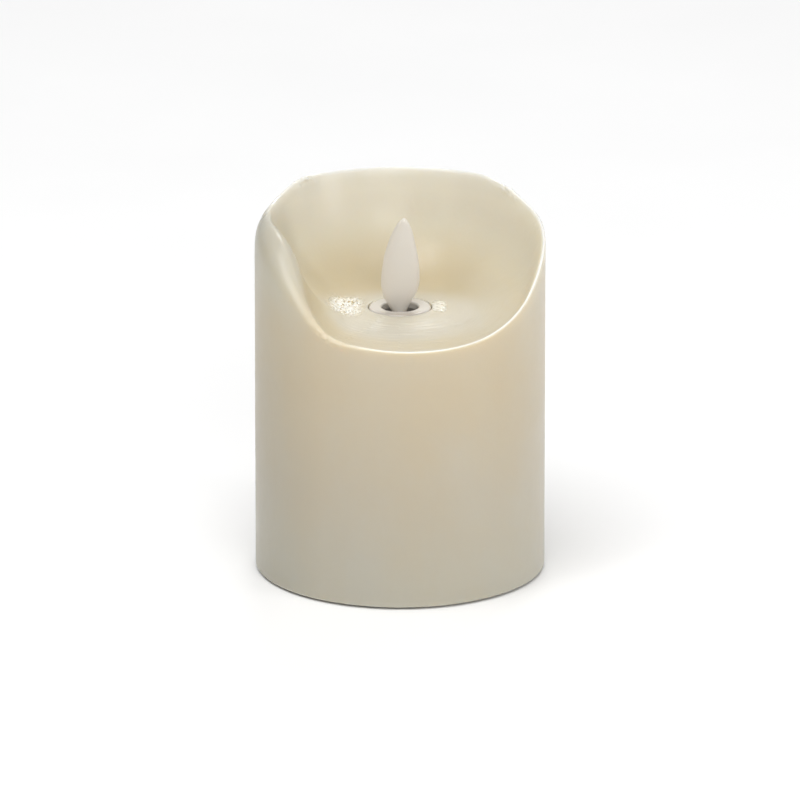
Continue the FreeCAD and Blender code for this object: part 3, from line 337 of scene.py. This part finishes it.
def wax_relief(points, degrees, crest):
    """How far each point of the wax stands proud of its smooth section."""
    x, y, z = np.moveaxis(points, -1, 0)
    r = np.hypot(x, y)
    floor = collar_top() - FLOOR_FALL - COLLAR_STEP
    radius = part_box("wax_shell")[1].x / MM
    row = rows_past_crest(points)
    inside = (row < 0) * (r > HOLE_RADIUS) * (z > floor - 2.0)
    inside = inside * smoothstep((r - HOLE_RADIUS - 0.6) / 2.5)
    outside = (row >= 0) * (r > radius - 3)
    low = 1 - smoothstep((z - floor - 2.0) / 6)
    front = inside * low * bell_round(degrees, *STREAKED_FRONT)
    relief = np.zeros(z.shape)
    for height, across, up in INSIDE_RIPPLES:
        relief += height * noise_where(inside, x / across, y / across, z / up)
    for height, outwards, turn, seed in FLOOR_STREAKS:
        relief += height * noise_where(front, r / outwards, degrees / turn, seed)
    for px, py, wide, deep, height in ROUGH_PATCHES:
        patch = inside * rough_patch(points, px, py, wide, deep)
        relief += height * noise_where(patch, x / 0.8, y / 1.1, z / 0.8)
        relief += 0.5 * height * noise_where(patch, x / 0.4, y / 0.5, 5)
    for centre, spread, height in CRUMBLED_RIM:
        near = bell_round(degrees, centre, spread) * bell(crest - z, 2.2)
        relief += height * noise_where(near, x / 0.9, y / 0.9, z / 0.7) - 0.5 * height * near
    for height, across, up in OUTSIDE_RIPPLES:
        relief += height * noise_where(outside, x / across, y / across, z / up)
    return relief - OUTSIDE_SINK * outside


def soft_lip(points):
    """From 0 to 1 round the candle, where the lip broadens into a soft shoulder."""
    return bell_round(np.arange(points.shape[1]) * 360 / points.shape[1], *SOFT_LIP, power=4)


def shoulder(points):
    """From 0 to 1 where the soft lip turns up to the light: there it gets painted shade and a matt finish."""
    facing_up = smoothstep(grid_normals(points)[..., 2] / 0.75)
    return soft_lip(points) * facing_up * bell(rows_past_crest(points), 42)


def inner_edge(points):
    """From 0 to 1 where the soft lip turns down into the bowl."""
    row = rows_past_crest(points)
    return soft_lip(points) * smoothstep((-row - 8) / 14) * smoothstep((row + 70) / 30)


def melted_inside(points):
    """From 0 to 1 where the wax has melted: inside the rim, fading out up the soft lip."""
    melted = smoothstep((4 - rows_past_crest(points)) / 8)
    r = np.hypot(points[..., 0], points[..., 1])
    return melted * (1 - soft_lip(points) * smoothstep((r - 20) / 10))


def painted_corner_shade(points, melted):
    """From 0 to 1 where darker, warmer shade is painted: low on the bowl's wall and inside the soft lip."""
    x, y, z = np.moveaxis(points, -1, 0)
    r = np.hypot(x, y)
    wall = smoothstep((np.hypot(0.8 * x, y + 7) - 15) / 9) * smoothstep((37.4 - r) / 2.5)
    wall = wall * (1 - 0.75 * smoothstep((x - 12) / 16))
    rise = z - (collar_top() - FLOOR_FALL) - 2.0
    corner_shade = melted * wall * np.where(rise > 0, bell(rise, 7), bell(rise, 3.0))
    return np.maximum(corner_shade, 0.8 * inner_edge(points))


def build_wax():
    degrees = np.arange(TURN_STEPS) * 360 / TURN_STEPS
    turn = np.radians(degrees)
    crest = lifted(degrees, crest_heights(turn), CREST_LIFTS)
    grid = wax_grid(degrees, crest)
    points = np.stack([grid[:, 0] * np.sin(turn), -grid[:, 0] * np.cos(turn), grid[:, 1]], axis=-1)
    points = points + wax_relief(points, degrees, crest)[..., None] * grid_normals(points)
    mesh = ring_mesh("wax_pillar", points * MM)
    melted = melted_inside(points)
    glinting = melted * sum(rough_patch(points, *place) for *place, _ in ROUGH_PATCHES)
    # the rim's crest: glossier, and with a painted highlight in its colour
    rim = bell(rows_past_crest(points) - 2.0, 7) * (1 - soft_lip(points))
    layers = {MELTED: melted, CORNER_SHADE: painted_corner_shade(points, melted), GLINTING: glinting,
              SHOULDER_SHADE: shoulder(points), POLISHED_AND_HIGHLIT: rim + glinting}
    for name, values in layers.items():
        mesh.attributes.new(name, "FLOAT", "POINT").data.foreach_set("value", values.ravel())
    piece = add_object("wax_pillar", mesh)
    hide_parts("wax_shell")
    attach(piece, "candle")
    return piece


# ---- materials -------------------------------------------------------------------------------------------


def tint(colour, factor):
    return tuple(min(1.0, channel * factor) for channel in colour)


def remapped(tree, value, low, high, to_low, to_high):
    """A value carried in a straight line from one range to another, and held at its ends."""
    node = tree.nodes.new("ShaderNodeMapRange")
    for socket, number in zip(("From Min", "From Max", "To Min", "To Max"), (low, high, to_low, to_high)):
        node.inputs[socket].default_value = number
    tree.links.new(value, node.inputs["Value"])
    return node.outputs["Result"]


class Paint:
    """A Principled material whose patterns are placed in the row frame, in metres."""

    def __init__(self, name, colour, roughness, **constants):
        self.material = bpy.data.materials.new(name)
        self.material.use_nodes = True
        self.tree = self.material.node_tree
        self.shader = self.tree.nodes["Principled BSDF"]
        self.place = self.tree.nodes.new("ShaderNodeTexCoord").outputs["Object"]
        self.colour, self.roughness = colour, roughness
        self.shader.inputs["Base Color"].default_value = (*colour, 1)
        self.shader.inputs["Roughness"].default_value = roughness
        for socket, value in constants.items():
            self.shader.inputs[socket.replace("_", " ")].default_value = value

    def link(self, output, socket):
        self.tree.links.new(output, self.shader.inputs[socket])

    def noise(self, size, detail=2.0, stretch=(1, 1, 1)):
        """Noise from 0 to 1 with features of a size in metres, drawn out along an axis by stretch."""
        mapping = self.tree.nodes.new("ShaderNodeMapping")
        mapping.inputs["Scale"].default_value = [1 / s for s in stretch]
        self.tree.links.new(self.place, mapping.inputs["Vector"])
        texture = self.tree.nodes.new("ShaderNodeTexNoise")
        texture.inputs["Scale"].default_value = 1 / size
        texture.inputs["Detail"].default_value = detail
        self.tree.links.new(mapping.outputs["Vector"], texture.inputs["Vector"])
        return texture.outputs["Fac"]

    def cells(self, size):
        """Distance from 0 to about 1 within Voronoi cells of a size in metres."""
        texture = self.tree.nodes.new("ShaderNodeTexVoronoi")
        texture.inputs["Scale"].default_value = 1 / size
        self.tree.links.new(self.place, texture.inputs["Vector"])
        return texture.outputs["Distance"]

    def rings(self, axis, pitch, wobble=0.0):
        """Waves from 0 to 1 along an axis, one every pitch metres."""
        texture = self.tree.nodes.new("ShaderNodeTexWave")
        texture.bands_direction = axis
        texture.wave_profile = "SIN"
        texture.inputs["Scale"].default_value = math.pi / (10 * pitch)
        texture.inputs["Distortion"].default_value = wobble
        self.tree.links.new(self.place, texture.inputs["Vector"])
        return texture.outputs["Fac"]

    def along(self, axis):
        """The coordinate along X, Y or Z."""
        split = self.tree.nodes.new("ShaderNodeSeparateXYZ")
        self.tree.links.new(self.place, split.inputs["Vector"])
        return split.outputs[axis]

    def attribute(self, name):
        node = self.tree.nodes.new("ShaderNodeAttribute")
        node.attribute_name = name
        return node.outputs["Fac"]

    def remap(self, value, low, high, to_low=0.0, to_high=1.0):
        return remapped(self.tree, value, low, high, to_low, to_high)

    def multiply(self, first, second):
        node = self.tree.nodes.new("ShaderNodeMath")
        node.operation = "MULTIPLY"
        for value, socket in zip((first, second), node.inputs):
            self.tree.links.new(value, socket)
        return node.outputs["Value"]

    def ramp(self, value, stops):
        """A colour for a value from 0 to 1, through (position, colour) stops."""
        node = self.tree.nodes.new("ShaderNodeValToRGB")
        elements = node.color_ramp.elements
        while len(elements) < len(stops):
            elements.new(1.0)
        for element, (position, colour) in zip(elements, stops):
            element.position = position
            element.color = (*colour, 1)
        self.tree.links.new(value, node.inputs["Fac"])
        return node.outputs["Color"]

    def mix(self, factor, first, second):
        """From the first colour to the second as factor goes from 0 to 1; each is a colour or an output."""
        node = self.tree.nodes.new("ShaderNodeMix")
        node.data_type = "RGBA"
        self.tree.links.new(factor, node.inputs["Factor"])
        for socket, colour in zip((node.inputs[6], node.inputs[7]), (first, second)):
            if isinstance(colour, tuple):
                socket.default_value = (*colour, 1)
            else:
                self.tree.links.new(colour, socket)
        return node.outputs[2]

    def clouds(self, size, low=0.0, high=1.0, stretch=(1, 1, 1)):
        """Soft patches of a size in metres, from a low to a high value."""
        return self.remap(self.noise(size, 3, stretch), 0.3, 0.7, low, high)

    def vary_colour(self, spread, size):
        """Light and dark patches."""
        dark, light = tint(self.colour, 1 - spread), tint(self.colour, 1 + spread)
        self.link(self.mix(self.clouds(size), dark, light), "Base Color")

    def vary_roughness(self, spread, size, stretch=(1, 1, 1)):
        """Duller and glossier patches."""
        dull, gloss = self.roughness + spread, self.roughness - spread
        self.link(self.clouds(size, gloss, dull, stretch), "Roughness")

    def bump(self, *layers):
        """Stacks (height output, depth in metres) layers of fine relief."""
        below = None
        for height, depth in layers:
            node = self.tree.nodes.new("ShaderNodeBump")
            node.inputs["Distance"].default_value = depth
            self.tree.links.new(height, node.inputs["Height"])
            if below:
                self.tree.links.new(below, node.inputs["Normal"])
            below = node.outputs["Normal"]
        self.link(below, "Normal")


# colours of the wax outside, from its foot to the top of its rim, with painted shade darker and greyer
# towards the foot, and inside, from BOWL_FOOT to the top
BOWL_FOOT = 70 * MM
WAX_SHADED_BY_HEIGHT = [
    (0.00, (0.46, 0.44, 0.37)), (0.30, (0.50, 0.455, 0.365)), (0.60, (0.56, 0.49, 0.365)),
    (0.72, (0.59, 0.52, 0.39)), (0.85, (0.60, 0.56, 0.45)), (1.00, (0.56, 0.545, 0.49)),
]
# painted shade inside the bowl: darker at its foot, paler and greyer higher up
WAX_INSIDE_SHADED = [
    (0.00, (0.60, 0.56, 0.465)), (0.21, (0.675, 0.61, 0.46)), (0.50, (0.68, 0.635, 0.51)),
    (0.80, (0.68, 0.65, 0.56)), (1.00, (0.62, 0.60, 0.54)),
]
# painted shade mixed into the outside towards its left side
WAX_LEFT_SHADE = (0.10, 0.115, 0.08)
# painted glints: pale specks in the broken patches
WAX_GLINT_SPECK = (0.84, 0.81, 0.70)
# painted shade in the pits of the broken patches
WAX_PIT_SHADE = (0.46, 0.37, 0.20)
# painted shade, darker and warmer, low in the bowl and inside the soft lip
WAX_CORNER_SHADE = (0.58, 0.495, 0.33)
# painted shade for the soft shoulder where it faces up
WAX_SHOULDER_SHADE = (0.355, 0.35, 0.285)
# painted highlight along the rim's crest
WAX_RIM_HIGHLIGHT = (0.80, 0.78, 0.72)
FLAME_HEIGHT = 28 * MM
# painted light: the flame paler towards its stem
FLAME_LIT_BY_HEIGHT = [(0.0, (0.82, 0.78, 0.70)), (0.2, (0.715, 0.675, 0.615)), (1.0, (0.64, 0.605, 0.545))]
COLLAR = (0.66, 0.635, 0.60)
# painted shadow of the flame on the collar's front
COLLAR_FLAME_SHADOW = (0.40, 0.345, 0.285)


def wax_material():
    """Ivory wax: painted shade greyer towards the foot, a painted highlight paler at the rim, softly mottled,
    glossy where it melted.
    """
    paint = Paint("ivory_wax", (0.56, 0.49, 0.37), 0.34, Subsurface_Weight=1.0, Subsurface_Scale=4 * MM,
                  Subsurface_Radius=(1.0, 0.9, 0.75))
    low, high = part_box("wax_shell")
    height = paint.remap(paint.along("Z"), low.z, high.z)
    # painted shade: the outside darker and greyer towards the foot
    plain = paint.ramp(height, WAX_SHADED_BY_HEIGHT)
    warm = paint.ramp(height, [(stop, (r, g * 0.975, b * 0.93)) for stop, (r, g, b) in WAX_SHADED_BY_HEIGHT])
    mottle = paint.remap(paint.noise(16 * MM, 3, (1, 1, 1.8)), 0.35, 0.65)
    # painted shade: the bowl's colour by height
    bowl = paint.ramp(paint.remap(paint.along("Z"), BOWL_FOOT, high.z), WAX_INSIDE_SHADED)
    # painted shade: the outside darker towards its left side
    left_shade = paint.remap(paint.along("X"), -20 * MM, -38 * MM, 0.0, 0.2)
    outside = paint.mix(left_shade, paint.mix(mottle, plain, warm), WAX_LEFT_SHADE)
    colour = paint.mix(paint.attribute(MELTED), outside, bowl)
    # painted shade low on the bowl's wall and inside the soft lip
    colour = paint.mix(paint.attribute(CORNER_SHADE), colour, WAX_CORNER_SHADE)
    # painted shade: the soft shoulder darker where it faces up to the light
    colour = paint.mix(paint.attribute(SHOULDER_SHADE), colour, WAX_SHOULDER_SHADE)
    # painted highlight: a pale line along the rim's crest and over the broken patches
    colour = paint.mix(paint.remap(paint.attribute(POLISHED_AND_HIGHLIT), 0.3, 1.0), colour, WAX_RIM_HIGHLIGHT)
    crumbs = paint.noise(0.75 * MM, 2)
    # painted glints: pale specks over the broken patches
    painted_glints = paint.multiply(paint.remap(crumbs, 0.52, 0.62), paint.attribute(GLINTING))
    # painted shade: dark specks in the pits of the broken patches
    pit_shade = paint.multiply(paint.remap(crumbs, 0.46, 0.36), paint.attribute(GLINTING))
    paint.link(paint.mix(pit_shade, paint.mix(painted_glints, colour, WAX_GLINT_SPECK), WAX_PIT_SHADE), "Base Color")
    rough = paint.clouds(9 * MM, 0.31, 0.37)
    polish = paint.remap(paint.attribute(POLISHED_AND_HIGHLIT), 0, 1, 1.0, 0.4)
    matt = paint.remap(paint.attribute(SHOULDER_SHADE), 0, 1, 1.0, 2.2)
    paint.link(paint.multiply(rough, paint.multiply(polish, matt)), "Roughness")
    paint.bump((paint.noise(5 * MM, 3), 0.10 * MM), (paint.noise(1.1 * MM, 3, (1, 1, 2.2)), 0.022 * MM))
    return paint.material


def flame_material():
    """Frosted white plastic that lets light through, with painted light making it paler towards its stem."""
    paint = Paint("flame_white", (0.63, 0.60, 0.545), 0.42, Subsurface_Weight=0.7, Subsurface_Scale=2 * MM,
                  Subsurface_Radius=(1.0, 0.95, 0.85))
    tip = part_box("flame_vane")[1].z
    level = paint.remap(paint.along("Z"), tip - FLAME_HEIGHT, tip)
    # painted light: paler towards the stem
    paint.link(paint.ramp(level, FLAME_LIT_BY_HEIGHT), "Base Color")
    paint.vary_roughness(0.05, 3 * MM)
    paint.bump((paint.noise(0.45 * MM, 2), 0.012 * MM), (paint.noise(6 * MM, 2, (1, 1, 3)), 0.06 * MM))
    return paint.material


def collar_material():
    """Glossy moulding, with the flame's shadow painted darker and yellower across its front."""
    paint = Paint("collar_white", COLLAR, 0.16, Coat_Weight=0.5, Coat_Roughness=0.08)
    # painted shadow: the collar darker towards its front, under the flame
    front = paint.remap(paint.along("Y"), -3.5 * MM, -7.5 * MM, 0.0, 0.85)
    paint.link(paint.mix(front, COLLAR, COLLAR_FLAME_SHADOW), "Base Color")
    paint.vary_roughness(0.05, 4 * MM)
    paint.bump((paint.noise(0.35 * MM, 3), 0.003 * MM), (paint.noise(7 * MM, 2), 0.03 * MM))
    return paint.material


def moulding(name, colour, roughness, grain, **constants):
    """Moulded plastic with a spark-eroded grain of a given depth."""
    paint = Paint(name, colour, roughness, **constants)
    paint.vary_colour(0.03, 14 * MM)
    paint.vary_roughness(0.05, 4 * MM)
    paint.bump((paint.noise(0.35 * MM, 3), grain), (paint.noise(7 * MM, 2), 0.03 * MM))
    return paint.material


def metal(name, colour, roughness, stretch=(1, 1, 1)):
    """Metal with cloudy plating and fine scratches drawn out by stretch."""
    paint = Paint(name, colour, roughness, Metallic=1.0)
    paint.vary_colour(0.09, 2.5 * MM)
    paint.vary_roughness(0.08, 0.6 * MM, stretch)
    paint.bump((paint.noise(0.25 * MM, 3, stretch), 0.006 * MM))
    return paint.material


def zinc():
    """Zinc plating with its faint yellow and blue tints and a rough, handled finish."""
    paint = Paint("zinc_screw", (0.62, 0.62, 0.60), 0.34, Metallic=1.0)
    hue = paint.remap(paint.noise(1.6 * MM, 3), 0.35, 0.65)
    paint.link(paint.mix(hue, (0.66, 0.63, 0.54), (0.56, 0.60, 0.66)), "Base Color")
    paint.vary_roughness(0.1, 0.5 * MM)
    paint.bump((paint.noise(0.3 * MM, 3), 0.008 * MM))
    return paint.material


def iron():
    """Soft iron with a little rust."""
    paint = Paint("core_iron", (0.33, 0.33, 0.34), 0.52, Metallic=1.0)
    rust = paint.remap(paint.noise(1.4 * MM, 4), 0.58, 0.72)
    paint.link(paint.mix(rust, (0.33, 0.33, 0.34), (0.26, 0.20, 0.16)), "Base Color")
    paint.vary_roughness(0.1, 0.8 * MM)
    paint.bump((paint.noise(0.3 * MM, 4), 0.02 * MM))
    return paint.material


def cell(name, node, button_side):
    """A dry cell: a dark foil jacket with a pale band by the button, and bare metal ends."""
    low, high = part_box(node)
    jacket = (0.045, 0.06, 0.085)
    paint = Paint(name, jacket, 0.3)
    button_low, button_high = (0.0, 1.0) if button_side > 0 else (1.0, 0.0)
    level = paint.remap(paint.along("X"), low.x, high.x, button_low, button_high)
    steel, band = (0.60, 0.60, 0.58), (0.50, 0.47, 0.38)
    coat = paint.ramp(level, [(0.0, steel), (0.022, steel), (0.024, jacket), (0.70, jacket), (0.705, band),
                              (0.945, band), (0.95, steel)])
    scuff = paint.remap(paint.noise(1.2 * MM, 4, (3, 1, 1)), 0.62, 0.75)
    paint.link(paint.mix(scuff, coat, (0.30, 0.30, 0.30)), "Base Color")
    bare = paint.ramp(level, [(0.0, (1, 1, 1)), (0.022, (1, 1, 1)), (0.024, (0, 0, 0)), (0.945, (0, 0, 0)),
                              (0.95, (1, 1, 1))])
    paint.link(bare, "Metallic")
    paint.vary_roughness(0.06, 2 * MM)
    paint.bump((paint.noise(4 * MM, 2, (3, 1, 1)), 0.02 * MM))
    return paint.material


def circuit_board():
    """Green solder mask over faint copper tracks on a glass weave."""
    mask = (0.022, 0.115, 0.05)
    paint = Paint("board_green", mask, 0.3, Coat_Weight=0.4, Coat_Roughness=0.15)
    tracks = paint.remap(paint.rings("DIAGONAL", 1.5 * MM, 4.0), 0.78, 0.84)
    paint.link(paint.mix(tracks, mask, (0.05, 0.22, 0.09)), "Base Color")
    weave = paint.multiply(paint.rings("X", 0.4 * MM), paint.rings("Y", 0.4 * MM))
    paint.bump((weave, 0.008 * MM), (tracks, 0.03 * MM))
    return paint.material


def winding(name, turns):
    """Enamelled copper wire; turns shows a coil's windings."""
    paint = Paint(name, (0.62, 0.25, 0.11), 0.28, Metallic=1.0, Coat_Weight=0.5, Coat_Roughness=0.12)
    paint.vary_colour(0.16, 1.8 * MM)
    paint.vary_roughness(0.06, 0.8 * MM)
    if turns:
        paint.bump((paint.rings("Z", 0.16 * MM, 0.3), 0.05 * MM))
    else:
        paint.bump((paint.noise(0.5 * MM), 0.008 * MM))
    return paint.material


def insulation(name, colour):
    """Soft PVC over stranded wire."""
    paint = Paint(name, colour, 0.38)
    paint.vary_colour(0.1, 3 * MM)
    paint.vary_roughness(0.08, 1.2 * MM)
    paint.bump((paint.noise(0.6 * MM, 3), 0.02 * MM))
    return paint.material


def rubber(name, colour):
    """Matt rubber, dusty in patches."""
    paint = Paint(name, colour, 0.78)
    dust = paint.remap(paint.noise(3 * MM, 4), 0.45, 0.75, 0.0, 0.35)
    paint.link(paint.mix(dust, colour, (0.42, 0.40, 0.37)), "Base Color")
    paint.vary_roughness(0.08, 1.5 * MM)
    paint.bump((paint.noise(0.25 * MM, 3), 0.025 * MM))
    return paint.material


def foam():
    """Closed-cell foam: little pores in a soft grey skin, with painted shade darkening the pores."""
    paint = Paint("foam_grey", (0.07, 0.07, 0.075), 0.92, Sheen_Weight=0.3)
    pores = paint.cells(0.55 * MM)
    # painted shade: the pores darker than the skin
    skin = paint.remap(pores, 0.1, 0.6)
    paint.link(paint.mix(skin, (0.03, 0.03, 0.032), (0.10, 0.10, 0.105)), "Base Color")
    paint.bump((pores, 0.12 * MM), (paint.noise(2 * MM), 0.1 * MM))
    return paint.material


def clear_epoxy():
    """The lamp's clear body."""
    paint = Paint("led_clear", (0.96, 0.93, 0.82), 0.08, Transmission_Weight=0.9, IOR=1.53)
    paint.vary_roughness(0.03, 1.5 * MM)
    paint.bump((paint.noise(1.5 * MM), 0.01 * MM))
    return paint.material


def hot_melt():
    """Milky glue, rippled where it set."""
    paint = Paint("glue_clear", (0.74, 0.69, 0.56), 0.25, Subsurface_Weight=0.8, Subsurface_Scale=3 * MM,
                  Subsurface_Radius=(1.0, 0.9, 0.7))
    paint.vary_colour(0.06, 5 * MM)
    paint.vary_roughness(0.06, 3 * MM)
    paint.bump((paint.noise(2.5 * MM, 3), 0.25 * MM))
    return paint.material


def dress(wax):
    """Gives the wax and every shown CAD node the material of its slot."""
    by_slot = {
        "ivory_wax": wax_material(),
        "flame_white": flame_material(),
        "collar_white": collar_material(),
        "housing_white": moulding("housing_white", (0.70, 0.67, 0.60), 0.46, 0.028 * MM),
        "tower_white": moulding("tower_white", (0.80, 0.775, 0.73), 0.42, 0.012 * MM, Subsurface_Weight=0.6,
                                Subsurface_Scale=3 * MM, Subsurface_Radius=(1, 0.95, 0.9)),
        "rubber_grey": rubber("rubber_grey", (0.085, 0.08, 0.077)),
        "zinc_screw": zinc(),
        "contact_steel": metal("contact_steel", (0.66, 0.64, 0.60), 0.24),
        "pivot_steel": metal("pivot_steel", (0.55, 0.55, 0.55), 0.2, (1, 6, 1)),
        "magnet_nickel": metal("magnet_nickel", (0.62, 0.62, 0.64), 0.14),
        "core_iron": iron(),
        "cell_jacket": cell("cell_jacket", "aa_cell_1", 1),
        "black_plastic": moulding("black_plastic", (0.016, 0.016, 0.018), 0.42, 0.02 * MM),
        "board_green": circuit_board(),
        "copper_wire": winding("copper_wire", False),
        "wire_red": insulation("wire_red", (0.42, 0.015, 0.012)),
        "wire_black": insulation("wire_black", (0.014, 0.014, 0.016)),
        "led_clear": clear_epoxy(),
        "foam_grey": foam(),
        "glue_clear": hot_melt(),
    }
    by_node = {"aa_cell_2": cell("cell_jacket_turned", "aa_cell_2", -1),
               "coil_winding": winding("copper_winding", True)}
    wax.data.materials.append(by_slot["ivory_wax"])
    for part in frame["record"]["subparts"]:
        mesh = frame["nodes"][part["node"]].data
        mesh.materials.clear()
        mesh.materials.append(by_node.get(part["node"], by_slot[part["material_slot"]]))


# ---- stage -----------------------------------------------------------------------------------------------


def look_at(thing, place, target):
    thing.location = place
    thing.rotation_euler = (target - place).to_track_quat("-Z", "Y").to_euler()


def around(azimuth, elevation, distance):
    """A point seen from the view's aim at an azimuth and an elevation in degrees."""
    a, e = math.radians(azimuth), math.radians(elevation)
    return VIEW_AIM + distance * Vector((math.sin(a) * math.cos(e), -math.cos(a) * math.cos(e), math.sin(e)))


def build_camera():
    data = bpy.data.cameras.new("camera")
    data.sensor_width = SENSOR_WIDTH
    data.lens = SENSOR_WIDTH * VIEW_DISTANCE / VIEW_WIDTH
    camera = bpy.data.objects.new("camera", data)
    bpy.context.scene.collection.objects.link(camera)
    look_at(camera, around(0, VIEW_ELEVATION, VIEW_DISTANCE), VIEW_AIM)
    bpy.context.scene.camera = camera


def soft_box(name, azimuth, elevation, distance, width, height, watts):
    data = bpy.data.lights.new(name, "AREA")
    data.shape = "RECTANGLE"
    data.size, data.size_y = width, height
    data.energy = watts
    light = bpy.data.objects.new(name, data)
    bpy.context.scene.collection.objects.link(light)
    look_at(light, around(azimuth, elevation, distance), VIEW_AIM)


def build_world():
    """An even white room, dimmer low down on the left."""
    world = bpy.data.worlds.new("studio")
    bpy.context.scene.world = world
    world.use_nodes = True
    tree = world.node_tree
    way = tree.nodes.new("ShaderNodeTexCoord").outputs["Generated"]
    split = tree.nodes.new("ShaderNodeSeparateXYZ")
    tree.links.new(way, split.inputs["Vector"])
    left = remapped(tree, split.outputs["X"], 0.0, -0.8, 0.0, 1.0)
    low = remapped(tree, split.outputs["Z"], 0.6, 0.1, 0.0, 1.0)
    both = tree.nodes.new("ShaderNodeMath")
    both.operation = "MULTIPLY"
    tree.links.new(left, both.inputs[0])
    tree.links.new(low, both.inputs[1])
    strength = remapped(tree, both.outputs["Value"], 0.0, 1.0, ROOM_LIGHT, ROOM_DIM_SIDE)
    tree.links.new(strength, tree.nodes["Background"].inputs["Strength"])
    tree.nodes["Background"].inputs["Color"].default_value = (1, 1, 1, 1)


def build_stage():
    for name, settings in SOFT_BOXES.items():
        soft_box(name, *settings)
    bpy.ops.mesh.primitive_plane_add(size=FLOOR_WIDTH, location=(0, 0, -FLOOR_DROP))
    floor = bpy.context.object
    floor.name = "floor"
    paint = Paint("pale_floor", (0.95, 0.95, 0.95), 0.7)
    paint.vary_colour(0.01, 80 * MM)
    floor.data.materials.append(paint.material)


bpy.context.scene.view_settings.view_transform = "Standard"
build_camera()
build_world()
build_stage()
dress(build_wax())
